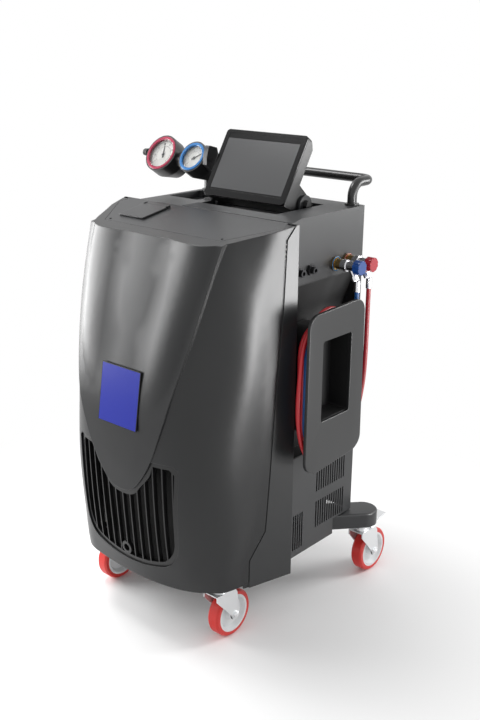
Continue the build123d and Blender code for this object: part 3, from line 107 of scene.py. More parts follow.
def grain_group():
    """Moulded or sprayed grain: a height and a small change of roughness from two noises."""
    group, start, end = new_group(
        "grain",
        [("Scale", "NodeSocketFloat", 900.0), ("Roughness", "NodeSocketFloat", 0.5),
         ("Spread", "NodeSocketFloat", 0.08)],
        [("Height", "NodeSocketFloat"), ("Roughness", "NodeSocketFloat")],
    )
    link = group.links.new
    place = node(group, "ShaderNodeTexCoord")
    fine = node(group, "ShaderNodeTexNoise")
    fine.inputs["Detail"].default_value = 2.0
    link(place.outputs["Object"], fine.inputs["Vector"])
    link(start.outputs["Scale"], fine.inputs["Scale"])
    broad = node(group, "ShaderNodeTexNoise")
    broad.inputs["Scale"].default_value = 6.0
    broad.inputs["Detail"].default_value = 3.0
    link(place.outputs["Object"], broad.inputs["Vector"])
    centred = node(group, "ShaderNodeMath", operation="SUBTRACT")
    centred.inputs[1].default_value = 0.5
    link(broad.outputs["Fac"], centred.inputs[0])
    spread = node(group, "ShaderNodeMath", operation="MULTIPLY_ADD")
    link(centred.outputs[0], spread.inputs[0])
    link(start.outputs["Spread"], spread.inputs[1])
    link(start.outputs["Roughness"], spread.inputs[2])
    link(fine.outputs["Fac"], end.inputs["Height"])
    link(spread.outputs[0], end.inputs["Roughness"])
    return group


def dust_group():
    """Colour lightened where faces look up and in broad, faint patches."""
    group, start, end = new_group(
        "dust",
        [("Color", "NodeSocketColor", (0.1, 0.1, 0.1, 1)),
         ("Dust", "NodeSocketColor", (0.3, 0.29, 0.27, 1)),
         ("Amount", "NodeSocketFloat", 0.05)],
        [("Color", "NodeSocketColor")],
    )
    link = group.links.new
    place = node(group, "ShaderNodeTexCoord")
    patches = node(group, "ShaderNodeTexNoise")
    patches.inputs["Scale"].default_value = 9.0
    patches.inputs["Detail"].default_value = 5.0
    link(place.outputs["Object"], patches.inputs["Vector"])
    facing = node(group, "ShaderNodeNewGeometry")
    split = node(group, "ShaderNodeSeparateXYZ")
    link(facing.outputs["Normal"], split.inputs[0])
    upward = node(group, "ShaderNodeMapRange")
    upward.inputs["From Min"].default_value = 0.2
    upward.inputs["From Max"].default_value = 1.0
    upward.inputs["To Min"].default_value = 0.35
    link(split.outputs["Z"], upward.inputs["Value"])
    both = node(group, "ShaderNodeMath", operation="MULTIPLY")
    link(upward.outputs[0], both.inputs[0])
    link(patches.outputs["Fac"], both.inputs[1])
    share = node(group, "ShaderNodeMath", operation="MULTIPLY")
    link(both.outputs[0], share.inputs[0])
    link(start.outputs["Amount"], share.inputs[1])
    mix = node(group, "ShaderNodeMix", data_type="RGBA")
    link(share.outputs[0], mix.inputs[0])
    link(start.outputs["Color"], mix.inputs[6])
    link(start.outputs["Dust"], mix.inputs[7])
    link(mix.outputs[2], end.inputs["Color"])
    return group


GRAIN = grain_group()
DUST = dust_group()


def finish(name, color, roughness, metallic=0.0, grain=900.0, bump=0.05, spread=0.06, dust=0.03,
           coat=0.0, coat_roughness=0.1, specular=0.5, edge=0.6, split=None):
    """Material with grain, dust and slightly rounded edges (edge is their radius in millimetres).
    split = (place, other colour): beyond that X the other colour shows."""
    made = bpy.data.materials.new(name)
    made.use_nodes = True
    made.diffuse_color = (*color, 1)
    tree = made.node_tree
    link = tree.links.new
    shader = tree.nodes["Principled BSDF"]
    shader.inputs["Metallic"].default_value = metallic
    shader.inputs["Specular IOR Level"].default_value = specular
    shader.inputs["Coat Weight"].default_value = coat
    shader.inputs["Coat Roughness"].default_value = coat_roughness
    dusty = node(tree, "ShaderNodeGroup", node_tree=DUST)
    dusty.inputs["Amount"].default_value = dust
    dusty.inputs["Color"].default_value = (*color, 1)
    if split:
        border, other = split
        place = node(tree, "ShaderNodeTexCoord")
        axes = node(tree, "ShaderNodeSeparateXYZ")
        link(place.outputs["Object"], axes.inputs[0])
        beyond = node(tree, "ShaderNodeMath", operation="GREATER_THAN")
        beyond.inputs[1].default_value = border
        link(axes.outputs["X"], beyond.inputs[0])
        mix = node(tree, "ShaderNodeMix", data_type="RGBA")
        mix.inputs[6].default_value = (*color, 1)
        mix.inputs[7].default_value = (*other, 1)
        link(beyond.outputs[0], mix.inputs[0])
        link(mix.outputs[2], dusty.inputs["Color"])
    link(dusty.outputs["Color"], shader.inputs["Base Color"])
    grainy = node(tree, "ShaderNodeGroup", node_tree=GRAIN)
    grainy.inputs["Scale"].default_value = grain
    grainy.inputs["Roughness"].default_value = roughness
    grainy.inputs["Spread"].default_value = spread
    link(grainy.outputs["Roughness"], shader.inputs["Roughness"])
    normal = None
    if edge:
        rounded = node(tree, "ShaderNodeBevel", samples=4)
        rounded.inputs["Radius"].default_value = edge * MM
        normal = rounded.outputs["Normal"]
    if bump:
        relief = node(tree, "ShaderNodeBump")
        relief.inputs["Strength"].default_value = bump
        relief.inputs["Distance"].default_value = 0.0006
        link(grainy.outputs["Height"], relief.inputs["Height"])
        if normal:
            link(normal, relief.inputs["Normal"])
        normal = relief.outputs["Normal"]
    if normal:
        link(normal, shader.inputs["Normal"])
    return made


def dark_border(material, middle, half):
    """Black edge round an upright plate; middle and half give X and Z of the field that keeps its colour."""
    tree = material.node_tree
    link = tree.links.new
    place = node(tree, "ShaderNodeTexCoord")
    axes = node(tree, "ShaderNodeSeparateXYZ")
    link(place.outputs["Object"], axes.inputs[0])
    beyond = node(tree, "ShaderNodeMath", operation="MAXIMUM")
    for i, axis in enumerate("XZ"):
        offset = node(tree, "ShaderNodeMath", operation="SUBTRACT")
        offset.inputs[1].default_value = middle[i]
        link(axes.outputs[axis], offset.inputs[0])
        size = node(tree, "ShaderNodeMath", operation="ABSOLUTE")
        link(offset.outputs[0], size.inputs[0])
        outside = node(tree, "ShaderNodeMath", operation="GREATER_THAN")
        outside.inputs[1].default_value = half[i]
        link(size.outputs[0], outside.inputs[0])
        link(outside.outputs[0], beyond.inputs[i])
    base = tree.nodes["Principled BSDF"].inputs["Base Color"]
    mix = node(tree, "ShaderNodeMix", data_type="RGBA")
    link(beyond.outputs[0], mix.inputs[0])
    link(base.links[0].from_socket, mix.inputs[6])
    mix.inputs[7].default_value = (*BLACK, 1)
    link(mix.outputs[2], base)


def clear(name, color, transmission, roughness=0.02):
    """Clear glass or plastic."""
    made = bpy.data.materials.new(name)
    made.use_nodes = True
    shader = made.node_tree.nodes["Principled BSDF"]
    shader.inputs["Base Color"].default_value = (*color, 1)
    shader.inputs["Roughness"].default_value = roughness
    shader.inputs["Transmission Weight"].default_value = transmission
    shader.inputs["IOR"].default_value = 1.45
    return made


CHARCOAL = (0.012, 0.0125, 0.0135)
BLACK = (0.006, 0.006, 0.0065)
COUPLER_SLEEVE = at(292, 0, 0).x

# Lid and printer door: the hood's satin in a lighter grey, painted light of the brightly lit top
lid_painted_light_finish = finish("lid_satin_painted_light", (0.020, 0.021, 0.023), 0.36, grain=1400, bump=0.05, edge=2.0)
hood_finish = finish("hood_satin", CHARCOAL, 0.30, grain=1400, bump=0.03, specular=0.42, edge=3.4)
panel_finish = finish("panel_coat", (0.022, 0.023, 0.025), 0.40, grain=700, bump=0.12)
flange_finish = finish("flange_satin", (0.016, 0.017, 0.018), 0.30, grain=1400, bump=0.04, edge=1.0)
grille_finish = finish("grille_black", (0.007, 0.007, 0.0075), 0.30, grain=1200, bump=0.04, edge=0.9)
# Condenser and its fan behind the grille: near black, painted shade of the inside of the hood
painted_shade_inside_finish = finish("hood_inside_painted_shade", (0.003, 0.003, 0.003), 0.6, grain=900, bump=0.08, specular=0.2)
bay_finish = finish("bay_black", (0.008, 0.008, 0.0085), 0.5, grain=900, bump=0.10, specular=0.35)
winder_finish = finish("winder_satin", (0.014, 0.0145, 0.0155), 0.32, grain=1300, bump=0.05, edge=1.2)
device_finish = finish("device_black", BLACK, 0.34, grain=1500, bump=0.06, specular=0.32, edge=0.9)
pod_finish = finish("pod_black", (0.018, 0.018, 0.019), 0.38, grain=1500, bump=0.08, edge=1.4)
bezel_finish = finish("bezel_gloss", (0.004, 0.004, 0.0045), 0.14, grain=600, bump=0.0, spread=0.02,
                      dust=0.01, specular=0.25)
screen_finish = finish("screen_dark", (0.040, 0.041, 0.043), 0.20, grain=400, bump=0.0, spread=0.02,
                       dust=0.0, coat=0.5, coat_roughness=0.12, edge=0)
badge_finish = finish("badge_blue", (0.010, 0.020, 0.30), 0.24, grain=900, bump=0.02, specular=0.3,
                      dust=0.0)
dark_border(badge_finish, (0.0032, 0.6382), (0.0648, 0.0701))
handle_finish = finish("handle_coat", (0.009, 0.009, 0.0095), 0.32, grain=900, bump=0.05)
dial_finish = finish("dial_white", (0.80, 0.80, 0.77), 0.5, grain=600, bump=0.0, dust=0.0, edge=0)
mark_finish = finish("dial_marks", (0.015, 0.015, 0.016), 0.5, bump=0.0, dust=0.0, edge=0)
needle_finish = finish("needle_black", (0.008, 0.008, 0.008), 0.4, bump=0.0, dust=0.0, edge=0)
rim_red_finish = finish("gauge_rim_red", (0.34, 0.008, 0.050), 0.24, bump=0.0, coat=0.4, dust=0.01)
rim_blue_finish = finish("gauge_rim_blue", (0.008, 0.15, 0.42), 0.24, bump=0.0, coat=0.4, dust=0.01)
lens_finish = clear("dial_glass", (1, 1, 1), 1.0)
# The couplers are brass at the port and chrome from the sleeve outwards
brass_finish = finish("brass", (0.52, 0.36, 0.14), 0.28, metallic=1.0, grain=1500, bump=0.03, dust=0.02)
chrome_finish = finish("chrome", (0.50, 0.34, 0.13), 0.18, metallic=1.0, grain=1500, bump=0.02, dust=0.02,
                       split=(COUPLER_SLEEVE, (0.72, 0.72, 0.74)))
cap_finish = finish("outlet_caps", (0.045, 0.045, 0.048), 0.3, metallic=0.8, grain=1200, bump=0.03)
zinc_finish = finish("zinc", (0.74, 0.75, 0.76), 0.36, metallic=0.85, grain=300, bump=0.04, dust=0.03)
hub_finish = finish("hub_white", (0.72, 0.73, 0.74), 0.38, grain=1200, bump=0.03, dust=0.04)
tread_finish = finish("tread_red", (0.62, 0.020, 0.014), 0.38, grain=700, bump=0.05, dust=0.04, edge=2.0)
red_finish = finish("knob_red", (0.50, 0.010, 0.026), 0.30, grain=1200, bump=0.03, coat=0.3)
blue_finish = finish("knob_blue", (0.010, 0.075, 0.33), 0.30, grain=1200, bump=0.03, coat=0.3)
ring_red_finish = finish("ring_red", (0.30, 0.06, 0.05), 0.32, grain=1200, bump=0.02)
ring_blue_finish = finish("ring_blue", (0.02, 0.16, 0.36), 0.32, grain=1200, bump=0.02)
hose_red_finish = finish("hose_red", (0.50, 0.014, 0.022), 0.34, grain=2200, bump=0.05, dust=0.02, edge=0)
hose_blue_finish = finish("hose_blue", (0.010, 0.12, 0.42), 0.34, grain=2200, bump=0.05, dust=0.02, edge=0)
black_screw_finish = finish("screw_black", (0.015, 0.015, 0.016), 0.35, metallic=0.6, grain=900, bump=0.02,
                            edge=0)
tank_finish = finish("tank_enamel", (0.20, 0.22, 0.25), 0.4, grain=700, bump=0.1)
iron_finish = finish("machine_black", (0.010, 0.010, 0.011), 0.45, grain=500, bump=0.15)

NODE_FINISH = {
    hood_finish: ["front_hood"],
    # Lid and printer door carry the lighter grey painted for the lit top
    lid_painted_light_finish: ["top_lid", "printer_door"],
    panel_finish: ["side_panel_right", "side_panel_left", "rear_panel", "top_cover", "base_frame",
                   "rear_outriggers", "gauge_arm", "display_base"],
    flange_finish: ["front_flange"],
    grille_finish: ["front_grille", "printer_unit"],
    bay_finish: ["hose_bay", "hose_drum"],
    winder_finish: ["winder_plate"],
    device_finish: ["display_housing", "gauge_knob", "power_inlet", "main_switch"],
    pod_finish: ["gauge_housing", "gauge_bezels"],
    bezel_finish: ["display_bezel", "display_screen"],
    badge_finish: ["badge_plate"],
    handle_finish: ["push_handle"],
    dial_finish: ["gauge_dials"],
    lens_finish: ["gauge_lenses"],
    needle_finish: ["gauge_needle_high", "gauge_needle_low"],
    brass_finish: ["storage_ports"],
    cap_finish: ["outlet_fittings"],
    chrome_finish: ["coupler_low_body", "coupler_high_body"],
    blue_finish: ["coupler_low_knob"],
    red_finish: ["coupler_high_knob"],
    zinc_finish: ["caster_front_left_fork", "caster_front_right_fork", "caster_rear_left_fork",
                  "caster_rear_right_fork", "brake_pedal_left", "brake_pedal_right"],
    hub_finish: ["caster_front_left_hub", "caster_front_right_hub", "caster_rear_left_hub",
                 "caster_rear_right_hub"],
    tread_finish: ["caster_front_left_tread", "caster_front_right_tread", "caster_rear_left_tread",
                   "caster_rear_right_tread"],
    tank_finish: ["refrigerant_tank"],
    iron_finish: ["compressor", "vacuum_pump"],
    # Condenser and fan carry the painted shade of the hood's inside
    painted_shade_inside_finish: ["condenser", "condenser_fan"],
    hose_red_finish: ["hose_high_tube", "hose_high_coil"],
    hose_blue_finish: ["hose_low_tube", "hose_low_coil"],
}


def dress(name, material, angle=28):
    """Material and smooth shading on a CAD node; its sharp edges are kept by a split at the angle."""
    piece = nodes[name]
    piece.data.materials.clear()
    piece.data.materials.append(material)
    for face in piece.data.polygons:
        face.use_smooth = True
    weld = piece.modifiers.new("weld", "WELD")
    weld.merge_threshold = 1e-5
    split = piece.modifiers.new("edges", "EDGE_SPLIT")
    split.split_angle = math.radians(angle)
    split.use_edge_sharp = False


for material, names in NODE_FINISH.items():
    for name in names:
        dress(name, material)

# Meshes


def mesh_piece(name, verts, faces, material, body, smooth=True, closed=False):
    """New piece from points in metres and faces, which rides on a body."""
    mesh = bpy.data.meshes.new(name)
    mesh.from_pydata([tuple(v) for v in verts], [], faces)
    mesh.validate()
    if closed:
        face_outwards(mesh)
    mesh.materials.append(material)
    if smooth:
        mesh.shade_smooth()
    return ride(name, mesh, body)


def face_outwards(mesh):
    """Merges doubled points of a closed shape and points its faces outwards."""
    work = bmesh.new()
    work.from_mesh(mesh)
    bmesh.ops.remove_doubles(work, verts=work.verts, dist=1e-6)
    bmesh.ops.recalc_face_normals(work, faces=work.faces)
    work.to_mesh(mesh)
    work.free()


def ride(name, mesh, body):
    """Object of a finished mesh on its body."""
    piece = bpy.data.objects.new(name, mesh)
    scene.collection.objects.link(piece)
    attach(piece, body)
    return piece


def turned(profile, origin, axis, count=48):
    """Points and faces of a profile of (radius, height) turned about an axis.
    A profile that starts and ends away from the axis is closed to a ring."""
    z = Vector(axis).normalized()
    x = z.orthogonal().normalized()
    y = z.cross(x)
    verts = []
    faces = []
    rows = []
    for radius, height in profile:
        if radius < 1e-7:
            rows.append([len(verts)] * count)
            verts.append(origin + z * height)
        else:
            rows.append(list(range(len(verts), len(verts) + count)))
            for i in range(count):
                a = 2 * math.pi * i / count
                verts.append(origin + x * (radius * math.cos(a)) + y * (radius * math.sin(a)) + z * height)
    following = rows[1:] if profile[0][0] < 1e-7 else rows[1:] + rows[:1]
    for lower, upper in zip(rows, following):
        for i in range(count):
            j = (i + 1) % count
            face = []
            for v in (lower[i], lower[j], upper[j], upper[i]):
                if v not in face:
                    face.append(v)
            if len(face) > 2:
                faces.append(face)
    return verts, faces


def turned_piece(name, profile, origin, axis, material, body, count=48, angle=30):
    """Turned shape as a new piece, its profile in millimetres."""
    verts, faces = turned([(r * MM, h * MM) for r, h in profile], origin, axis, count)
    piece = mesh_piece(name, verts, faces, material, body, closed=True)
    piece.data.set_sharp_from_angle(angle=math.radians(angle))
    return piece


# Hoses
HOSE = 11.5
WINDER_Y = -40.0
WINDER_Z = 646.0
DRUM_HALF_WIDTH = 70.0
DRUM_HALF_HEIGHT = 145.0
DRUM_CORNER = 55.0
LAYER = 11.7

low_route = [
    (339, 54, 862), (339, 54, 812), (340, 58, 758), (340.5, 53, 704), (340.5, 47.5, 654),
]
high_route = [
    (339, 104, 862), (339, 104, 780), (341, 102, 700), (338, 103, 620), (332, 92, 543),
    (330, 62, 478), (331, 12, 437), (330, -50, 428), (330, -108, 458), (331, -146, 522),
    (330, -160, 602), (331, -155, 690), (328, -142, 772), (324, -84, 828), (318, -18, 836),
    (316, 36, 806), (314, 52, 748), (313, 43, 690), (313, 37, 640),
]


def smooth_step(value, start, end):
    t = min(1.0, max(0.0, (value - start) / (end - start)))
    return t * t * (3 - 2 * t)


def drum_point(turn, radius_out):
    """Y and Z on the winder at a turn count from the middle of its rear side, going down first."""
    flat_y = DRUM_HALF_WIDTH - DRUM_CORNER
    flat_z = DRUM_HALF_HEIGHT - DRUM_CORNER
    r = DRUM_CORNER + radius_out
    arc = math.pi * r / 2
    lengths = [flat_z, arc, 2 * flat_y, arc, 2 * flat_z, arc, 2 * flat_y, arc, flat_z]
    s = (turn % 1.0) * sum(lengths)
    edge_y = flat_y + r
    edge_z = flat_z + r
    if s < lengths[0]:
        return edge_y, -s
    s -= lengths[0]
    corners = [(flat_y, -flat_z, 0.0), (-flat_y, -flat_z, -90.0), (-flat_y, flat_z, -180.0),
               (flat_y, flat_z, -270.0)]
    flats = [((flat_y, -edge_z), (-1, 0), 2 * flat_y), ((-edge_y, -flat_z), (0, 1), 2 * flat_z),
             ((-flat_y, edge_z), (1, 0), 2 * flat_y), ((edge_y, flat_z), (0, -1), flat_z)]
    for (cy, cz, begin), (start, way, run) in zip(corners, flats):
        if s < arc:
            a = math.radians(begin) - s / r
            return cy + r * math.cos(a), cz + r * math.sin(a)
        s -= arc
        if s < run:
            return start[0] + way[0] * s, start[1] + way[1] * s
        s -= run
    return edge_y, 0.0


def wound(first_x, step_x, turns, layers, start_turn, per_turn=28):
    """Points of the turns: layer and column change in short stretches near the top of each turn.
    layers gives the column and the layer of every full turn, the last one for what follows."""
    points = []
    count = int(turns * per_turn)
    for i in range(count + 1):
        u = start_turn + i / per_turn
        whole = int(u)
        part = u - whole
        column, layer = layers[min(whole, len(layers) - 1)]
        next_column, next_layer = layers[min(whole + 1, len(layers) - 1)]
        c = column + (next_column - column) * smooth_step(part, 0.74, 0.86)
        k = layer + (next_layer - layer) * smooth_step(part, 0.60, 0.72)
        y, z = drum_point(u, HOSE / 2 + 0.3 + k * LAYER)
        points.append((first_x + c * step_x, WINDER_Y + y, WINDER_Z + z))
    return points


def hose(name, route, winding, material, replaced):
    """Free hose: one spline along the route and then round the drum."""
    points = [at(*p) for p in route + winding]
    curve = bpy.data.curves.new(name, "CURVE")
    curve.dimensions = "3D"
    curve.bevel_depth = HOSE / 2 * MM
    curve.bevel_resolution = 4
    curve.use_fill_caps = True
    spline = curve.splines.new("NURBS")
    spline.points.add(len(points) - 1)
    for point, place in zip(spline.points, points):
        point.co = (*place, 1)
    spline.order_u = 3
    spline.use_endpoint_u = True
    spline.resolution_u = 6
    curve.materials.append(material)
    piece = bpy.data.objects.new(name, curve)
    scene.collection.objects.link(piece)
    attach(piece, "cabinet")
    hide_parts(*replaced)


# Low-pressure hose: two outer turns, then an inner one; high-pressure hose: two turns in one layer
low_winding = wound(340.5, -12.3, 2.9, [(0, 1), (1, 1), (1, 0), (0, 0)], 0.04)
high_winding = wound(313.0, -12.0, 1.9, [(0, 0), (1, 0), (1, 0)], 0.05)
hose("hose_low", low_route, low_winding, hose_blue_finish, ["hose_low_tube", "hose_low_coil"])
hose("hose_high", high_route, high_winding, hose_red_finish, ["hose_high_tube", "hose_high_coil"])

# Repeated pieces by Geometry Nodes


def scatter_tree():
    """Stands a small piece on every point: Z to the point's facing, X to its along direction."""
    tree = bpy.data.node_groups.new("stand_on_points", "GeometryNodeTree")
    new_socket = tree.interface.new_socket
    new_socket("Geometry", in_out="INPUT", socket_type="NodeSocketGeometry")
    new_socket("Piece", in_out="INPUT", socket_type="NodeSocketObject")
    new_socket("Scale", in_out="INPUT", socket_type="NodeSocketFloat").default_value = 1.0
    new_socket("Finish", in_out="INPUT", socket_type="NodeSocketMaterial")
    new_socket("Geometry", in_out="OUTPUT", socket_type="NodeSocketGeometry")
    start = tree.nodes.new("NodeGroupInput")
    end = tree.nodes.new("NodeGroupOutput")
    link = tree.links.new
    shape = node(tree, "GeometryNodeObjectInfo", transform_space="ORIGINAL")
    link(start.outputs["Piece"], shape.inputs["Object"])
    facing = node(tree, "GeometryNodeInputNamedAttribute", data_type="FLOAT_VECTOR")
    facing.inputs["Name"].default_value = "facing"
    along = node(tree, "GeometryNodeInputNamedAttribute", data_type="FLOAT_VECTOR")
    along.inputs["Name"].default_value = "along"
    turn = node(tree, "FunctionNodeAlignRotationToVector", axis="Z")
    link(facing.outputs["Attribute"], turn.inputs["Vector"])
    spin = node(tree, "FunctionNodeAlignRotationToVector", axis="X", pivot_axis="Z")
    link(turn.outputs[0], spin.inputs["Rotation"])
    link(along.outputs["Attribute"], spin.inputs["Vector"])
    stand = node(tree, "GeometryNodeInstanceOnPoints")
    link(start.outputs["Geometry"], stand.inputs["Points"])
    link(shape.outputs["Geometry"], stand.inputs["Instance"])
    link(spin.outputs[0], stand.inputs["Rotation"])
    link(start.outputs["Scale"], stand.inputs["Scale"])
    real = node(tree, "GeometryNodeRealizeInstances")
    link(stand.outputs["Instances"], real.inputs["Geometry"])
    paint = node(tree, "GeometryNodeSetMaterial")
    link(real.outputs["Geometry"], paint.inputs["Geometry"])
    link(start.outputs["Finish"], paint.inputs["Material"])
    link(paint.outputs["Geometry"], end.inputs["Geometry"])
    return tree


STAND = scatter_tree()


def template(name, verts, faces):
    """Small mesh that a repeat is made of; it isn't linked to the scene."""
    mesh = bpy.data.meshes.new(name)
    mesh.from_pydata([tuple(v) for v in verts], [], faces)
    mesh.shade_smooth()
    mesh.set_sharp_from_angle(angle=math.radians(30))
    return bpy.data.objects.new(name, mesh)


def repeated(name, small, places, material, body, scale=1.0):
    """One plain mesh of the small piece stood at every place: (point, facing, along)."""
    points = bpy.data.meshes.new(name + "_points")
    points.from_pydata([tuple(p) for p, _, _ in places], [], [])
    for label, column in (("facing", 1), ("along", 2)):
        values = points.attributes.new(label, "FLOAT_VECTOR", "POINT")
        for i, place in enumerate(places):
            values.data[i].vector = place[column]
    holder = bpy.data.objects.new(name + "_holder", points)
    scene.collection.objects.link(holder)
    repeat = holder.modifiers.new("repeat", "NODES")
    repeat.node_group = STAND
    for socket in STAND.interface.items_tree:
        if socket.in_out == "INPUT" and socket.name in ("Piece", "Scale", "Finish"):
            value = {"Piece": small, "Scale": scale, "Finish": material}[socket.name]
            repeat[socket.identifier] = value
    depsgraph = bpy.context.evaluated_depsgraph_get()
    mesh = bpy.data.meshes.new_from_object(holder.evaluated_get(depsgraph))
    bpy.data.objects.remove(holder)
    bpy.data.meshes.remove(points)
    mesh.name = name
    if not mesh.materials:
        mesh.materials.append(material)
    ride(name, mesh, body)


UP = Vector((0, 0, 1))
ACROSS = Vector((1, 0, 0))
TO_REAR = Vector((0, 1, 0))


def screw_head(radius):
    """Domed head with a hexagonal socket."""
    r = radius * MM
    rings = [(6, 0.42 * r, 0.25 * r), (6, 0.42 * r, 0.62 * r), (24, 0.62 * r, 0.64 * r),
             (24, 0.86 * r, 0.46 * r), (24, r, 0.12 * r), (24, r, -0.2 * r)]
    verts = [Vector((0, 0, 0.25 * r))]
    rows = []
    for count, radius_here, height in rings:
        rows.append(range(len(verts), len(verts) + 24))
        for i in range(24):
            a = 2 * math.pi * (i // 4) / 6 if count == 6 else 2 * math.pi * i / 24
            if count == 6:
                share = (i % 4) / 4
                b = 2 * math.pi * (i // 4 + 1) / 6
                x = math.cos(a) * (1 - share) + math.cos(b) * share
                y = math.sin(a) * (1 - share) + math.sin(b) * share
            else:
                x, y = math.cos(a), math.sin(a)
            verts.append(Vector((x * radius_here, y * radius_here, height)))
    faces = [(0, rows[0][i], rows[0][(i + 1) % 24]) for i in range(24)]
    for inner, outer in zip(rows, rows[1:]):
        for i in range(24):
            j = (i + 1) % 24
            faces.append((inner[i], outer[i], outer[j], inner[j]))
    return template("screw_head", verts, faces)


SCREW = screw_head(3.6)
LID_PITCH = math.radians(10.04)
LID_UP = Vector((0, -math.sin(LID_PITCH), math.cos(LID_PITCH)))
LID_BACK = Vector((0, math.cos(LID_PITCH), math.sin(LID_PITCH)))
LID_FRONT_Y = -305
LID_FRONT_Z = 1012
LID_SCREW_X = 187
LID_SCREW_BACK = 38
SCREW_SINK = 1.2
BODY_HALF = 270.7
BODY_REAR = 171.0
PANEL_SCREW_X = 255
PANEL_SCREW_HEIGHTS = (230, 430, 640, 850, 1015)


def on_lid(x, y, rise):
    """Point on the lid's slope: y along it from its front edge, rise square to it."""
    return at(x, LID_FRONT_Y, LID_FRONT_Z) + (LID_BACK * y + LID_UP * rise) * MM


lid_screws = [(on_lid(x, LID_SCREW_BACK, -SCREW_SINK), LID_UP, ACROSS) for x in (-LID_SCREW_X, LID_SCREW_X)]
repeated("lid_screws", SCREW, lid_screws, black_screw_finish, "cabinet")

rear_screws = [(at(x, BODY_REAR, z), TO_REAR, UP)
               for x in (-PANEL_SCREW_X, PANEL_SCREW_X) for z in PANEL_SCREW_HEIGHTS]
repeated("panel_screws", SCREW, rear_screws, black_screw_finish, "cabinet")

# Gauges
GAUGE_LEAN = math.radians(33)
GAUGE_OUT = Vector((0, -math.cos(GAUGE_LEAN), math.sin(GAUGE_LEAN)))
GAUGE_UP = Vector((0, math.sin(GAUGE_LEAN), math.cos(GAUGE_LEAN)))
GAUGE_Y = 10
GAUGE_Z = 1147
GAUGE_HIGH_X = -288
GAUGE_LOW_X = -172
DIAL_DEPTH = 10.5
SWEEP = 270.0


def on_dial(x, radius, angle, rise):
    """Point on a dial: radius and clockwise angle from straight up, rise above the dial's face."""
    a = math.radians(angle)
    return (at(x, GAUGE_Y, GAUGE_Z) + GAUGE_OUT * ((rise - DIAL_DEPTH) * MM)
            + (ACROSS * math.sin(a) + GAUGE_UP * math.cos(a)) * (radius * MM))


def dial_band(name, x, inner, outer, start, end, rise, material):
    """Flat arc on a dial."""
    steps = max(2, int(abs(end - start) / 4))
    verts = []
    for i in range(steps + 1):
        angle = start + (end - start) * i / steps
        verts += [on_dial(x, inner, angle, rise), on_dial(x, outer, angle, rise)]
    faces = [(2 * i, 2 * i + 1, 2 * i + 3, 2 * i + 2) for i in range(steps)]
    mesh_piece(name, verts, faces, material, "gauge_pod", smooth=False)


TICK = template("tick", [(-0.5, -0.08, 0), (0.5, -0.08, 0), (0.5, 0.08, 0), (-0.5, 0.08, 0)], [(0, 1, 2, 3)])


def dial_ticks(name, x, radius, long_mark, count, every):
    """Graduations round the sweep; one in so many (every) is long."""
    for kind, length in (("long", long_mark), ("short", long_mark * 0.55)):
        places = []
        for i in range(count + 1):
            if (i % every == 0) == (kind == "long"):
                angle = -SWEEP / 2 + SWEEP * i / count
                outward = on_dial(x, 1, angle, 0) - on_dial(x, 0, angle, 0)
                middle = on_dial(x, radius - length / 2, angle, 0.12)
                places.append((middle, GAUGE_OUT, outward.normalized()))
        repeated(f"{name}_{kind}", TICK, places, mark_finish, "gauge_pod", scale=length * MM)


def figure(name, text, x, radius, angle, size, material):
    """Number on a dial, upright."""
    curve = bpy.data.curves.new(name, "FONT")
    curve.body = text
    curve.size = size * MM
    curve.align_x = "CENTER"
    curve.align_y = "CENTER"
    temporary = bpy.data.objects.new(name + "_text", curve)
    scene.collection.objects.link(temporary)
    depsgraph = bpy.context.evaluated_depsgraph_get()
    mesh = bpy.data.meshes.new_from_object(temporary.evaluated_get(depsgraph))
    bpy.data.objects.remove(temporary)
    turn = Matrix((ACROSS, GAUGE_UP, GAUGE_OUT)).transposed().to_4x4()
    mesh.transform(Matrix.Translation(on_dial(x, radius, angle, 0.14)) @ turn)
    mesh.materials.clear()
    mesh.materials.append(material)
    ride(name, mesh, "gauge_pod")


def dress_gauge(tag, x, face, rim, steps, last):
    """Scales, numbers and coloured rim of one gauge: face is the radius of the dial that shows,
    steps the count of numbered steps and last the number at the end."""
    turned_piece(f"gauge_rim_{tag}", [(face, -3.6), (face + 8.1, -3.6), (face + 8.1, 0.9), (face + 6.9, 2.1),
                                      (face + 1.6, 2.1), (face, 0.5)],
                 at(x, GAUGE_Y, GAUGE_Z), GAUGE_OUT, rim, "gauge_pod", count=64)
    dial_ticks(f"ticks_{tag}", x, face - 2.0, face * 0.12, steps * 5, 5)
    dial_ticks(f"inner_ticks_{tag}", x, face * 0.60, face * 0.07, steps * 4, 4)
    dial_band(f"scale_arc_{tag}", x, face - 2.4, face - 1.9, -SWEEP / 2, SWEEP / 2, 0.10, mark_finish)
    dial_band(f"inner_arc_{tag}", x, face * 0.60, face * 0.615, -SWEEP / 2, SWEEP / 2, 0.10, mark_finish)
    for i in range(steps + 1):
        angle = -SWEEP / 2 + SWEEP * i / steps
        figure(f"figure_{tag}_{i}", str(int(last * i / steps)), x, face * 0.74, angle, face * 0.17,
               mark_finish)


dress_gauge("high", GAUGE_HIGH_X, 40.6, rim_red_finish, 7, 35)
dress_gauge("low", GAUGE_LOW_X, 32.1, rim_blue_finish, 5, 15)

